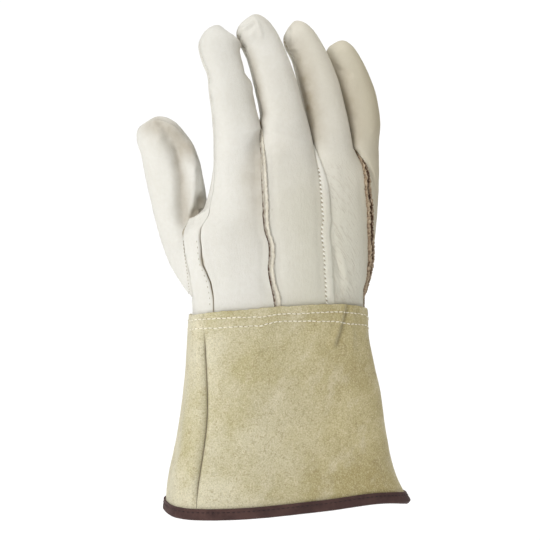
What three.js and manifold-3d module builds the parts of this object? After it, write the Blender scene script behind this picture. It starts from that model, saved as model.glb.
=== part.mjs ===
// A leather gauntlet glove for the right hand, in millimetres: a cream grain-leather hand sewn to a flared suede cuff
// whose hem is bound with brown tape. It has the shape that a hand gives it, and it is hollow and open at the hem.
// +Z runs from the hem to the fingertips, -Y is the back of the hand, +Y the palm and -X the thumb side.
// The origin is the middle of the cuff's opening, at the hem.
import * as THREE from "three";
import Module from "manifold-3d";

const wasm = await Module();
wasm.setup();

// Leather, suede and tape
const leather = 1.4; // wall of the hand's grain leather
const suede = 1.8; // wall of the cuff's split leather
const tape = 1.1; // wall of the hem's binding
const gap = 0.32; // clearance between two sewn pieces

// Cuff
const cuffHeight = 135; // hem to the cuff's top edge
const hemWidth = 170;
const hemDepth = 68;
const wristWidth = 124;
const wristDepth = 50;
const wristShift = -6.5; // the wrist's middle, towards the little side
const cuffLap = 14; // how deep the hand goes into the cuff
const ease = 0.2; // extra room between the hand and the cuff round it
const bindingHeight = 7.5;
const cuffFold = 1.6; // depth of the cuff's folds
const edgeWave = 6; // how far the cuff's top edge and hem leave the level

// Hand
const palmLength = 124; // the hand's lower edge, inside the cuff, to the web beside the ring finger
const palmWidth = 120;
const palmDepth = 48;
const crown = 1.6; // how far each back panel swells between its seams
const rayWidth = 30; // a finger across
const rayDepth = 23; // a finger from back to palm
const fingerLength = 89; // the longest finger, along its middle from web to tip
const weltWidth = 3.6;
const weltRise = 0.9; // how far a welt stands proud of the leather beside it

// Thumb
const thumbLength = 104; // along its middle, from the opening in the palm panel
const thumbWidth = 38;
const thumbDepth = 30;

// Grids: how finely each surface is divided
const palmRows = [0, 0.1, 0.2, 0.3, 0.4, 0.47, 0.53, 0.58, 0.64]; // rows up to where the fingers start to part
const webRows = 4; // rows from there to the webs
const fingerRows = 7; // rows up a finger to its rounded end
const tipRows = 4; // rows over a rounded end
const arcSteps = 8; // columns across half of a finger
const wrapSteps = 12; // columns of the palm panel's strip that wraps round the thumb side
const cuffRows = 8;
const cuffSteps = 20; // columns across half of the cuff
const thumbRows = 11;
const thumbSteps = 10; // columns across half of the thumb

// The cuff's outline from its top edge (up 1) to its hem (up 0): how much of the flare each side has, and how square.
const cuffSections = [
  { at: 0, thumb: 1, little: 1, depth: 1, square: 2.9 },
  { at: 0.14, thumb: 0.88, little: 0.68, depth: 0.84, square: 2.9 },
  { at: 0.35, thumb: 0.55, little: 0.41, depth: 0.6, square: 2.8 },
  { at: 0.6, thumb: 0.24, little: 0.22, depth: 0.32, square: 2.7 },
  { at: 0.85, thumb: 0.09, little: 0.01, depth: 0.1, square: 2.5 },
  { at: 1, thumb: 0, little: 0, depth: 0, square: 2.4 },
];

// How far the cuff's top edge and its hem rise above level round the outline, as shares of edgeWave.
// Angles: 0 is the thumb side, 90 the back, 180 the little side and 270 the palm.
const cuffEdges = [
  { at: 0, top: -0.2, hem: 0 },
  { at: 60, top: 0.7, hem: 0 },
  { at: 100, top: 0.95, hem: 0.25 },
  { at: 125, top: 0.75, hem: 0.5 },
  { at: 148, top: 0.15, hem: -0.1 },
  { at: 170, top: -0.75, hem: -0.55 },
  { at: 195, top: -0.85, hem: -0.5 },
  { at: 240, top: -0.85, hem: 0.1 },
  { at: 300, top: -0.65, hem: 0.1 },
  { at: 360, top: -0.2, hem: 0 },
];

// Angle of the cuff's two seams on its outline.
const cuffSeams = [
  { at: 0, thumb: 40, little: 190 },
  { at: 0.25, thumb: 40.5, little: 190 },
  { at: 0.5, thumb: 40, little: 190 },
  { at: 0.8, thumb: 34, little: 190 },
  { at: 1, thumb: 29, little: 190 },
];

// The cuff's folds: place on its outline, height, and how wide and tall each is. Depths are shares of cuffFold.
const cuffFolds = [
  { angle: 138, up: 0.9, wide: 11, tall: 0.2, depth: 0.6 },
  { angle: 158, up: 0.62, wide: 14, tall: 0.3, depth: -0.9 },
  { angle: 104, up: 0.45, wide: 16, tall: 0.4, depth: 0.7 },
  { angle: 68, up: 0.3, wide: 14, tall: 0.4, depth: -0.6 },
  { angle: 250, up: 0.5, wide: 22, tall: 0.4, depth: 0.9 },
];

// The hand from its lower edge (at 0) to the webs (at 1). The sides are shares of palmWidth from the hand's middle
// line, back and palm are shares of palmDepth, and lift moves the whole section towards the palm.
const handSections = [
  { at: 0, thumb: -0.545, little: 0.42, back: 0.475, palm: 0.475, lift: 0, square: 2.4 },
  { at: 0.12, thumb: -0.548, little: 0.435, back: 0.475, palm: 0.475, lift: 0, square: 2.4 },
  { at: 0.35, thumb: -0.598, little: 0.495, back: 0.47, palm: 0.47, lift: 0.02, square: 2.4 },
  { at: 0.48, thumb: -0.605, little: 0.51, back: 0.45, palm: 0.46, lift: 0.03, square: 2.4 },
  { at: 0.54, thumb: -0.58, little: 0.516, back: 0.44, palm: 0.45, lift: 0.035, square: 2.4 },
  { at: 0.62, thumb: -0.485, little: 0.524, back: 0.42, palm: 0.44, lift: 0.04, square: 2.4 },
  { at: 0.8, thumb: -0.43, little: 0.542, back: 0.335, palm: 0.38, lift: 0.05, square: 2.3 },
  { at: 1, thumb: -0.418, little: 0.565, back: 0.21, palm: 0.3, lift: 0.06, square: 2.2 },
];

// Where the five seam lines of the back run, as shares of the hand's width at that height from the thumb side.
const seamLines = [
  { at: 0, edge: 0.097, index: 0.45, middle: 0.75, ring: 0.985 },
  { at: 0.18, edge: 0.095, index: 0.429, middle: 0.742, ring: 0.985 },
  { at: 0.26, edge: 0.1, index: 0.408, middle: 0.729, ring: 0.976 },
  { at: 0.33, edge: 0.102, index: 0.4, middle: 0.716, ring: 0.967 },
  { at: 0.39, edge: 0.097, index: 0.407, middle: 0.711, ring: 0.964 },
  { at: 0.45, edge: 0.085, index: 0.406, middle: 0.705, ring: 0.96 },
  { at: 0.5, edge: 0.064, index: 0.386, middle: 0.695, ring: 0.952 },
  { at: 0.55, edge: 0.04, index: 0.36, middle: 0.682, ring: 0.942 },
  { at: 0.6, edge: 0.021, index: 0.316, middle: 0.666, ring: 0.934 },
  { at: 0.65, edge: 0.008, index: 0.294, middle: 0.65, ring: 0.925 },
  { at: 0.75, edge: 0.004, index: 0.27, middle: 0.632, ring: 0.905 },
  { at: 0.87, edge: 0.001, index: 0.261, middle: 0.612, ring: 0.888 },
  { at: 1, edge: 0, index: 0.265, middle: 0.58, ring: 0.826 },
];
const littleWrap = 12; // degrees that the little finger's back panel reaches round to the palm

// The five places where the fingers start: height as a share of palmLength, and lift towards the palm.
const webs = [
  { up: 1.06, lift: 0.03 },
  { up: 1.1, lift: -0.02 },
  { up: 1, lift: 0 },
  { up: 0.98, lift: 0.08 },
  { up: 0.96, lift: 0.18 },
];

// Each finger from its web (at 0) to its tip (at 1): flex bends it to the palm and lean to the thumb side, in degrees.
// Its length is a share of fingerLength, widths are shares of rayWidth and depths of rayDepth.
const fingers = [
  {
    name: "index",
    length: 0.82,
    sections: [
      { at: 0, flex: 13, lean: 4, width: 1.02, back: 0.53, palm: 0.52 },
      { at: 0.25, flex: 15, lean: 6, width: 1.0, back: 0.48, palm: 0.5 },
      { at: 0.42, flex: 17, lean: 7, width: 0.95, back: 0.46, palm: 0.47 },
      { at: 0.56, flex: 21, lean: 10, width: 0.85, back: 0.43, palm: 0.44 },
      { at: 0.68, flex: 26, lean: 12, width: 0.88, back: 0.43, palm: 0.44 },
      { at: 0.84, flex: 32, lean: -12, width: 0.96, back: 0.44, palm: 0.45 },
      { at: 1, flex: 36, lean: -40, width: 0.97, back: 0.44, palm: 0.45 },
    ],
  },
  {
    name: "middle",
    length: 0.966,
    sections: [
      { at: 0, flex: 13, lean: 6, width: 1.12, back: 0.53, palm: 0.52 },
      { at: 0.22, flex: 16, lean: 8, width: 1.0, back: 0.49, palm: 0.5 },
      { at: 0.45, flex: 20, lean: 10, width: 0.97, back: 0.46, palm: 0.47 },
      { at: 0.65, flex: 26, lean: 12, width: 0.9, back: 0.43, palm: 0.44 },
      { at: 0.82, flex: 32, lean: 22, width: 0.9, back: 0.43, palm: 0.43 },
      { at: 1, flex: 36, lean: 32, width: 0.88, back: 0.43, palm: 0.43 },
    ],
  },
  {
    name: "ring",
    length: 1,
    sections: [
      { at: 0, flex: 13, lean: 6, width: 1.0, back: 0.52, palm: 0.52 },
      { at: 0.22, flex: 16, lean: 8, width: 0.96, back: 0.48, palm: 0.5 },
      { at: 0.45, flex: 20, lean: 9, width: 0.92, back: 0.46, palm: 0.46 },
      { at: 0.65, flex: 26, lean: 11, width: 0.86, back: 0.43, palm: 0.43 },
      { at: 0.82, flex: 32, lean: 24, width: 0.8, back: 0.41, palm: 0.41 },
      { at: 1, flex: 36, lean: 38, width: 0.8, back: 0.4, palm: 0.4 },
    ],
  },
  {
    name: "little",
    length: 0.865,
    sections: [
      { at: 0, flex: 12, lean: -4, width: 0.72, back: 0.46, palm: 0.48 },
      { at: 0.22, flex: 14, lean: 3, width: 0.8, back: 0.44, palm: 0.46 },
      { at: 0.45, flex: 18, lean: 9, width: 0.84, back: 0.42, palm: 0.43 },
      { at: 0.65, flex: 24, lean: 14, width: 0.78, back: 0.4, palm: 0.4 },
      { at: 0.82, flex: 30, lean: 19, width: 0.74, back: 0.38, palm: 0.38 },
      { at: 1, flex: 34, lean: 24, width: 0.7, back: 0.36, palm: 0.36 },
    ],
  },
];

// The opening for the thumb in the palm panel: an ellipse on the strip that wraps round the thumb side, skewed so
// that its top leans to the back.
const thumbHole = { up: 0.385, tall: 0.215, across: 0.554, wide: 0.298, skew: -0.066, square: 2.3 };

// The thumb from that opening (at 0) to its tip (at 1). Its middle line is given as shares of palmLength upwards, of
// palmWidth sideways and of palmDepth towards the palm, and turn is how far its broad side faces the palm.
const thumbSections = [
  { at: 0.33, up: 0.65, side: -0.565, lift: 0.54, width: 0.96, back: 0.42, palm: 0.54 },
  { at: 0.5, up: 0.77, side: -0.587, lift: 0.55, width: 0.99, back: 0.47, palm: 0.52 },
  { at: 0.7, up: 0.92, side: -0.62, lift: 0.56, width: 0.98, back: 0.46, palm: 0.48 },
  { at: 0.85, up: 1.02, side: -0.667, lift: 0.58, width: 0.86, back: 0.42, palm: 0.42 },
  { at: 1, up: 1.13, side: -0.752, lift: 0.6, width: 0.66, back: 0.36, palm: 0.36 },
];
const thumbTurn = 24; // degrees
const rootSwell = { outer: 0.3, inner: 0.6 }; // how roundly the thumb's root leaves the palm panel

const radians = THREE.MathUtils.degToRad;
const mix = THREE.MathUtils.lerp;
const smooth = (t) => THREE.MathUtils.smoothstep(t, 0, 1);
const along = (a, b, t) => new THREE.Vector3().lerpVectors(a, b, t);

// A named column of a table at a place on its "at" column, on a smooth curve through the rows.
function column(table, name, at) {
  const last = table.length - 1;
  let k = 0;
  while (k < last - 1 && at > table[k + 1].at) k++;
  const slope = (i) => {
    const [p, q] = [table[Math.max(i - 1, 0)], table[Math.min(i + 1, last)]];
    return (q[name] - p[name]) / (q.at - p.at);
  };
  const [a, b] = [table[k], table[k + 1]];
  const h = b.at - a.at;
  const t = THREE.MathUtils.clamp((at - a.at) / h, 0, 1);
  const [t2, t3] = [t * t, t * t * t];
  return (
    (2 * t3 - 3 * t2 + 1) * a[name] +
    (t3 - 2 * t2 + t) * h * slope(k) +
    (3 * t2 - 2 * t3) * b[name] +
    (t3 - t2) * h * slope(k + 1)
  );
}

// A point of the unit superellipse in the direction of an angle: [cosine, sine], each from -1 to 1.
function rounded(degrees, square) {
  const [c, s] = [Math.cos(radians(degrees)), Math.sin(radians(degrees))];
  const r = (Math.abs(c) ** square + Math.abs(s) ** square) ** (-1 / square);
  return [c * r, s * r];
}

// A point of a level section: 0 degrees is its thumb side, 90 its back, 180 its little side and 270 its palm.
function onSection(s, degrees, z) {
  const [c, n] = rounded(degrees, s.square);
  const x = (s.thumb + s.little) / 2 - ((s.little - s.thumb) / 2) * c;
  return new THREE.Vector3(x, s.lift - (n > 0 ? s.back : s.palm) * n, z);
}

// The angle on a section's back at which a share of its width is reached, counted from the thumb side.
function angleAt(share, square) {
  const c = 1 - 2 * share;
  const n = (1 - Math.abs(c) ** square) ** (1 / square);
  return THREE.MathUtils.radToDeg(Math.atan2(n, c));
}

const turnOf = (degrees) => THREE.MathUtils.euclideanModulo(degrees, 360);

// The cuff's outer surface, from the hem (up 0) to the top edge (up 1).
const cuffBottom = tape + gap;
function cuffPoint(up, degrees) {
  const wider = (hemWidth - wristWidth) / 2;
  const deeper = (column(cuffSections, "depth", up) * (hemDepth - wristDepth) + wristDepth) / 2;
  const section = {
    thumb: mix(wristShift, 0, column(cuffSections, "thumb", up)) - wristWidth / 2,
    little: mix(wristShift, 0, column(cuffSections, "little", up)) + wristWidth / 2,
    back: deeper,
    palm: deeper,
    lift: 0,
    square: column(cuffSections, "square", up),
  };
  section.thumb -= wider * column(cuffSections, "thumb", up);
  section.little += wider * column(cuffSections, "little", up);
  const top = cuffHeight + edgeWave * column(cuffEdges, "top", turnOf(degrees));
  const bottom = cuffBottom + edgeWave * column(cuffEdges, "hem", turnOf(degrees));
  const p = onSection(section, degrees, mix(bottom, top, up));
  let dent = 0;
  for (const f of cuffFolds) {
    const turn = (((degrees - f.angle + 540) % 360) - 180) / f.wide;
    dent += f.depth * Math.exp(-(turn ** 2) - ((up - f.up) / f.tall) ** 2);
  }
  const inwards = new THREE.Vector3(wristShift - p.x, -p.y * 3, 0).normalize();
  return p.addScaledVector(inwards, dent * cuffFold);
}

// The hand's own section at a share of palmLength.
const handBottom = cuffHeight - cuffLap;
function handSection(up) {
  const at = (name) => column(handSections, name, up);
  return {
    thumb: at("thumb") * palmWidth,
    little: at("little") * palmWidth,
    back: at("back") * palmDepth,
    palm: at("palm") * palmDepth,
    lift: at("lift") * palmDepth,
    square: at("square"),
  };
}

// A surface's unit normal at (v, c), with v kept between two limits.
const small = 1e-3;
function normalOf(surface, v, c, low, high) {
  const across = surface(v, c + small).sub(surface(v, c - small));
  const up = surface(Math.min(v + small, high), c).sub(surface(Math.max(v - small, low), c));
  return across.cross(up).normalize();
}

// The hand is sewn to the inside of the cuff and comes free of it over lapBlend above the cuff's top edge.
const lapTop = cuffHeight + edgeWave;
const lapBlend = 14;
function tuckIntoCuff(point, degrees) {
  const free = smooth((point.z - lapTop) / lapBlend);
  if (free >= 1) return point;
  const up = Math.min((point.z - cuffBottom) / (cuffHeight - cuffBottom), 1);
  const outwards = normalOf(cuffPoint, up, degrees, 0, 1);
  const inside = cuffPoint(up, degrees).addScaledVector(outwards, -suede - gap - ease);
  inside.z = point.z;
  return inside.lerp(point, free);
}

// Height of seam j at a share v of its way from the hand's lower edge to its web.
const seamHeight = (j, v) => handBottom + webs[j].up * palmLength * v;
const seamNames = ["edge", "index", "middle", "ring"];

// The angle of seam j on the hand's section, on the back or mirrored on the palm side.
function seamAngle(j, v, side) {
  const section = handSection(v);
  if (j === 4) return side === "back" ? 180 + littleWrap : -180 + littleWrap;
  const angle = angleAt(column(seamLines, seamNames[j], v), section.square);
  return side === "back" || j === 0 ? angle : -angle;
}

// Where seam j would run if the fingers went on below their webs: half way between back and palm.
function webPoint(j, v) {
  const section = handSection(v);
  const share = j === 4 ? 1 : j === 0 ? 0 : column(seamLines, seamNames[j], v);
  const lift = mix(section.lift, section.lift + webs[j].lift * palmDepth, v);
  return new THREE.Vector3(mix(section.thumb, section.little, share), lift, seamHeight(j, v));
}

// A half ring between two side points, bulging out by a depth in the direction out: turn runs from 0 to 180.
function halfRing(left, right, out, depth, turn, square) {
  const [c, n] = rounded(turn, square);
  const middle = along(left, right, 0.5);
  const half = along(right, left, 0.5).sub(right);
  return middle.addScaledVector(half, c).addScaledVector(out, depth * n);
}

const ringSquare = 2.3;
const partFrom = 0.74; // share of the way to the webs at which the fingers start to part
const backwards = new THREE.Vector3(0, -1, 0);

// The hand below the webs: ray i between seams i and i + 1, v from 0 to 1 upwards, c from 0 to 1 across.
function handPoint(i, side, v, c) {
  const angle = mix(seamAngle(i, v, side), seamAngle(i + 1, v, side), c);
  const section = handSection(v);
  const z = mix(seamHeight(i, v), seamHeight(i + 1, v), c);
  const swell = side === "back" ? crown * Math.sin(Math.PI * c) : 0;
  const body = tuckIntoCuff(onSection(section, angle, z).add(new THREE.Vector3(0, -swell, 0)), angle);
  const sections = fingers[i].sections;
  const sign = side === "back" ? 1 : -1;
  const out = backwards.clone().multiplyScalar(sign);
  const depth = sections[0][side] * rayDepth;
  const finger = halfRing(webPoint(i, v), webPoint(i + 1, v), out, depth, 180 * c, ringSquare);
  const t = THREE.MathUtils.clamp((v - partFrom) / (1 - partFrom), 0, 1);
  return body.lerp(finger, mix(t * t, smooth(t), Math.sin(Math.PI * c) ** 4));
}

// The middle line of a finger: points with their direction, found by walking up it in small steps.
const walk = 60;
function spineOf(i) {
  const { length, sections } = fingers[i];
  const at = along(webPoint(i, 1), webPoint(i + 1, 1), 0.5);
  const step = (length * fingerLength) / walk;
  const line = [];
  for (let k = 0; k <= walk; k++) {
    const flex = radians(column(sections, "flex", k / walk));
    const lean = radians(column(sections, "lean", k / walk));
    const up = new THREE.Vector3(-Math.sin(lean), Math.sin(flex) * Math.cos(lean), Math.cos(flex) * Math.cos(lean));
    const across = new THREE.Vector3(Math.cos(lean), 0, 0).addScaledVector(up, Math.sin(lean)).normalize();
    line.push({ at: at.clone(), up, across, out: new THREE.Vector3().crossVectors(across, up) });
    at.addScaledVector(up, step);
  }
  return line;
}
const spines = fingers.map((_, i) => spineOf(i));

// A point of a spine and its frame, at a share of its length.
function onSpine(line, share) {
  const k = Math.min(Math.floor(share * walk), walk - 1);
  const [a, b, t] = [line[k], line[k + 1], share * walk - k];
  return {
    at: along(a.at, b.at, t),
    across: along(a.across, b.across, t).normalize(),
    out: along(a.out, b.out, t).normalize(),
  };
}

// How a rounded end narrows: turn runs from 0 where it starts to 90 at the tip seam, which stays tipSeam wide.
const tipSeam = 0.45;
const tipRound = 0.44; // a finger's rounded end, as a share of rayWidth
const thumbRound = 0.4; // the thumb's rounded end, as a share of thumbDepth
const endWidth = (turn) => mix(tipSeam, 1, Math.cos(radians(turn)));

// A finger above its web: s from 0 to 1 is its straight part, and from 1 to 2 its rounded end.
function fingerPoint(i, side, s, c) {
  const { length, sections } = fingers[i];
  const endShare = (tipRound * rayWidth) / (length * fingerLength);
  const turn = 90 * Math.max(s - 1, 0);
  const share = s <= 1 ? s * (1 - endShare) : 1 - endShare + endShare * Math.sin(radians(turn));
  const frame = onSpine(spines[i], share);
  const half = (column(sections, "width", share) * rayWidth) / 2;
  const root = smooth(share / 0.22);
  const [left, right] = [webPoint(i, 1), webPoint(i + 1, 1)];
  const step = along(left, right, 0.5).sub(left);
  step.lerp(frame.across.clone().multiplyScalar(half), root).multiplyScalar(s > 1 ? endWidth(turn) : 1);
  const sign = side === "back" ? 1 : -1;
  const out = backwards.clone().lerp(frame.out, root).normalize().multiplyScalar(sign);
  const depth = column(sections, side, share) * rayDepth * (s > 1 ? Math.cos(radians(turn)) : 1);
  return halfRing(frame.at.clone().sub(step), frame.at.clone().add(step), out, depth, 180 * c, ringSquare);
}

// One ray of the hand from the cuff (v 0) over the web (v 1) to the fingertip (v 3).
function rayPoint(i, side, v, c) {
  return v <= 1 ? handPoint(i, side, v, c) : fingerPoint(i, side, v - 1, c);
}

// The rows of a ray.
function rayRows() {
  const rows = [...palmRows];
  for (let k = 0; k < webRows; k++) rows.push(mix(partFrom, 1, k / webRows));
  for (let k = 0; k < fingerRows; k++) rows.push(1 + k / fingerRows);
  for (let k = 0; k <= tipRows; k++) rows.push(2 + k / tipRows);
  return rows;
}

// A grid of points and outward normals on a surface. rows are its v values, and trim gives the width taken off
// the left and right edges at each row.
const stretch = (surface, v, c) => surface(v, c + small).distanceTo(surface(v, c - small)) / (2 * small);
function patch(surface, rows, columns, flip, trim = () => [0, 0]) {
  return rows.map((v) => {
    const [left, right] = trim(v);
    const from = left / stretch(surface, v, 0.01);
    const to = 1 - right / stretch(surface, v, 0.99);
    return Array.from({ length: columns + 1 }, (_, k) => {
      const c = mix(from, to, k / columns);
      const inside = THREE.MathUtils.clamp(c, 0.004, 0.996);
      const normal = normalOf(surface, v, inside, rows[0], rows[rows.length - 1]);
      return { at: surface(v, c), normal: flip ? normal.negate() : normal };
    });
  });
}

// One closed solid from patches that meet along shared points: the patches, the same moved in by the wall, and the
// edges between the two.
function thicken(patches, wall, flip) {
  const corners = new Map();
  const outer = [];
  const faces = [];
  const number = ({ at, normal }) => {
    const key = at.toArray().map((x) => Math.round(x * 500)).join();
    if (!corners.has(key)) {
      corners.set(key, outer.length);
      outer.push({ at, normal: normal.clone() });
    } else outer[corners.get(key)].normal.add(normal);
    return corners.get(key);
  };
  for (const grid of patches) {
    const ids = grid.map((row) => row.map(number));
    for (let r = 0; r + 1 < ids.length; r++) {
      for (let k = 0; k + 1 < ids[r].length; k++) {
        const quad = [ids[r][k], ids[r][k + 1], ids[r + 1][k + 1], ids[r + 1][k]];
        if (flip) quad.reverse();
        faces.push([quad[0], quad[1], quad[2]], [quad[0], quad[2], quad[3]]);
      }
    }
  }
  const skin = faces.filter(([a, b, c]) => a !== b && b !== c && c !== a);
  const n = outer.length;
  const inner = outer.map(({ at, normal }) => at.clone().addScaledVector(normal.clone().normalize(), -wall));
  const edges = new Set(skin.flatMap((f) => f.map((a, k) => a + "," + f[(k + 1) % 3])));
  const sides = [...edges]
    .map((e) => e.split(",").map(Number))
    .filter(([a, b]) => !edges.has(b + "," + a))
    .flatMap(([a, b]) => [[b, a, a + n], [b, a + n, b + n]]);
  const all = [...skin, ...skin.map(([a, b, c]) => [c + n, b + n, a + n]), ...sides];
  return solid([...outer.map((o) => o.at), ...inner], all);
}

function solid(points, triangles) {
  return new wasm.Manifold(
    new wasm.Mesh({
      numProp: 3,
      vertProperties: new Float32Array(points.flatMap((p) => p.toArray())),
      triVerts: new Uint32Array(triangles.flat()),
    }),
  );
}

// A solid swept through rings of points. Rings that close on themselves need no caps.
function sweep(rings, closed = false) {
  const n = rings[0].length;
  const triangles = [];
  const last = closed ? rings.length : rings.length - 1;
  for (let r = 0; r < last; r++) {
    const [a, b] = [r * n, ((r + 1) % rings.length) * n];
    for (let k = 0; k < n; k++) {
      const m = (k + 1) % n;
      triangles.push([a + k, a + m, b + m], [a + k, b + m, b + k]);
    }
  }
  const end = (rings.length - 1) * n;
  for (let k = 1; k + 1 < n && !closed; k++) {
    triangles.push([0, k + 1, k], [end, end + k, end + k + 1]);
  }
  return solid(rings.flat(), triangles);
}

// How wide the slot for a welt is on each side of its seam: it narrows towards the web. Beside the web itself a back
// panel keeps webRoom more clearance.
const webRoom = 0.6;
const weltSlot = (v) => (v < 1 ? (weltWidth / 2) * mix(1, 0.3, smooth((v - partFrom) / (1 - partFrom))) : 0);

// A welt: a narrow strip in seam j between two back panels, flush inside and proud outside.
function welt(j, ridges) {
  const rows = rayRows().filter((v) => v < 1);
  const rings = rows.map((v) => {
    const edge = (i, c) => {
      const surface = (u, d) => rayPoint(i, "back", u, d);
      const share = (1.1 * gap + weltSlot(v)) / stretch(surface, v, Math.abs(c - 0.01));
      return surface(v, Math.abs(c - share));
    };
    const [left, right] = [edge(j - 1, 1), edge(j, 0)];
    const at = along(left, right, 0.5);
    const across = right.clone().sub(left);
    const half = across.length() / 2 - gap;
    const up = rayPoint(j, "back", v + 0.01, 0).sub(rayPoint(j, "back", Math.max(v - 0.01, 0), 0));
    const out = new THREE.Vector3().crossVectors(across, up).normalize();
    const free = smooth((at.z - lapTop) / 8);
    return ridges(half, weltRise * free).map(([x, y]) =>
      at.clone().addScaledVector(across.clone().normalize(), x).addScaledVector(out, y),
    );
  });
  return sweep(rings);
}
const flatWelt = (half, top) => [
  [-half, top * 0.6],
  [-half * 0.6, top],
  [half * 0.6, top],
  [half, top * 0.6],
  [half * 0.8, -leather],
  [-half * 0.8, -leather],
];
const rawWelt = (half, top) => [
  [-half, top * 1.2],
  [-half * 0.55, top * 1.5],
  [0, top * 0.4],
  [half * 0.55, top * 1.5],
  [half, top * 1.2],
  [half * 0.8, -leather],
  [-half * 0.8, -leather],
];

// A back panel with its finger, between seams i and i + 1.
function backPanel(i) {
  const welted = (j) => (j > 0 && j < 4 ? 1 : 0);
  const room = (v) => gap + webRoom * Math.exp(-(((v - 1) / 0.07) ** 2));
  const trim = (v) => [room(v) + welted(i) * weltSlot(v), room(v) + welted(i + 1) * weltSlot(v)];
  const rows = rayRows();
  rows[rows.length - 1] -= gap / (tipRound * rayDepth);
  return thicken([patch((v, c) => rayPoint(i, "back", v, c), rows, arcSteps, false, trim)], leather, false);
}

// The palm panel: the palm side of all four fingers in one piece, wrapped round the thumb side. Its wall lies below
// the three webs between fingers.
function palmPanel() {
  const rows = rayRows();
  const strips = fingers.map((_, i) =>
    patch((v, c) => rayPoint(i, "palm", v, c), rows, i === 0 ? wrapSteps : arcSteps, true),
  );
  const atWeb = strips.map((grid) => grid[rows.indexOf(1)]);
  for (let i = 1; i < fingers.length; i++) {
    atWeb[i - 1].at(-1).normal.set(0, 0, 1);
    atWeb[i].at(0).normal.set(0, 0, 1);
  }
  return thicken(strips, leather, true);
}

// The thumb's opening: a point of its rim on the palm panel's skin, with the skin's normal.
function rimPoint(degrees) {
  const [c, s] = rounded(degrees, thumbHole.square);
  const v = thumbHole.up - thumbHole.tall * c;
  const across = thumbHole.across - thumbHole.wide * s + thumbHole.skew * c;
  const skin = (u, d) => rayPoint(0, "palm", u, d);
  return { at: skin(v, across), normal: normalOf(skin, v, across, 0, 1).negate() };
}

// The thumb's outer surface: t from 0 at the rim to 1 where its rounded end starts and 2 at its tip seam.
// Turn 0 faces the outside of the hand, 90 the back, 180 the index finger and 270 the palm.
function thumbPoint(t, degrees) {
  const at = (name, share) => column(thumbSections, name, share);
  const centre = (share) =>
    new THREE.Vector3(
      at("side", share) * palmWidth,
      at("lift", share) * palmDepth,
      handBottom + at("up", share) * palmLength,
    );
  const ring = (share, turn) => {
    const up = centre(share + 0.02).sub(centre(share - 0.02)).normalize();
    const side = new THREE.Vector3(Math.cos(radians(thumbTurn)), -Math.sin(radians(thumbTurn)), 0);
    const across = side.addScaledVector(up, -side.dot(up)).normalize();
    const out = new THREE.Vector3().crossVectors(across, up);
    const [c, n] = rounded(degrees, ringSquare);
    const half = (at("width", share) * thumbWidth * (turn ? endWidth(turn) : 1)) / 2;
    const depth = at(n > 0 ? "back" : "palm", share) * thumbDepth * Math.cos(radians(turn));
    return centre(share).addScaledVector(across, -half * c).addScaledVector(out, depth * n);
  };
  const first = thumbSections[0].at;
  const endShare = (thumbRound * thumbDepth) / thumbLength;
  if (t > 1) return ring(1 - endShare + endShare * Math.sin(radians(90 * (t - 1))), 90 * (t - 1));
  const share = t * (1 - endShare);
  if (share >= first) return ring(share, 0);
  const rim = rimPoint(degrees);
  const start = ring(first, 0);
  const reach = start.distanceTo(rim.at);
  const slope = ring(first + 0.05, 0).sub(start).setLength(reach);
  const swell = mix(rootSwell.inner, rootSwell.outer, (1 + Math.cos(radians(degrees))) / 2) * reach;
  const leave = start.clone().sub(rim.at).addScaledVector(rim.normal, swell);
  const k = share / first;
  const [k2, k3] = [k * k, k * k * k];
  return rim.at
    .multiplyScalar(2 * k3 - 3 * k2 + 1)
    .addScaledVector(leave, k3 - 2 * k2 + k)
    .addScaledVector(start, 3 * k2 - 2 * k3)
    .addScaledVector(slope, k3 - k2);
}

// Half of the thumb, on its back or its palm side.
function thumbPanel(side) {
  const rows = thumbRowList();
  if (side === "back") rows[rows.length - 1] -= gap / (thumbRound * thumbDepth);
  const turn = (c) => (side === "back" ? 180 * c : -180 * c);
  const trim = side === "back" ? () => [gap, gap] : () => [0, 0];
  const flip = side === "palm";
  return thicken([patch((t, c) => thumbPoint(t, turn(c)), rows, thumbSteps, flip, trim)], leather, flip);
}

// The rows of the thumb, from its rim over its rounded end.
function thumbRowList() {
  const rows = [];
  for (let k = 0; k < thumbRows; k++) rows.push(k / thumbRows);
  for (let k = 0; k <= tipRows; k++) rows.push(1 + k / tipRows);
  return rows;
}

// What the thumb takes out of the palm panel: all of its outside with its clearance, and a way in through the rim.
const wayIn = 7;
function thumbPlug() {
  const count = 2 * thumbSteps;
  const turns = Array.from({ length: count }, (_, k) => (360 * k) / count);
  const skin = (t, c) => thumbPoint(t, 360 * c);
  const ring = (t) => turns.map((a) => skin(t, a / 360).addScaledVector(normalOf(skin, t, a / 360, 0, 2), gap));
  const rings = thumbRowList().map(ring);
  const inside = rings[0].map((p, k) => p.clone().addScaledVector(rimPoint(turns[k]).normal, -wayIn));
  return sweep([inside, ...rings]);
}

// The surface of one of the cuff's two panels: c runs from its thumb-side seam to its little-side seam.
function cuffSkin(side) {
  return (up, c) => {
    const [a, b] = [column(cuffSeams, "thumb", up), column(cuffSeams, "little", up)];
    return cuffPoint(up, side === "back" ? mix(a, b, c) : mix(a, b - 360, c));
  };
}

// A cuff panel between the two seams.
function cuffPanel(side) {
  const rows = Array.from({ length: cuffRows + 1 }, (_, k) => k / cuffRows);
  const flip = side === "palm";
  const trim = side === "back" ? () => [gap, gap] : () => [0, 0];
  return thicken([patch(cuffSkin(side), rows, cuffSteps, flip, trim)], suede, flip);
}

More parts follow.
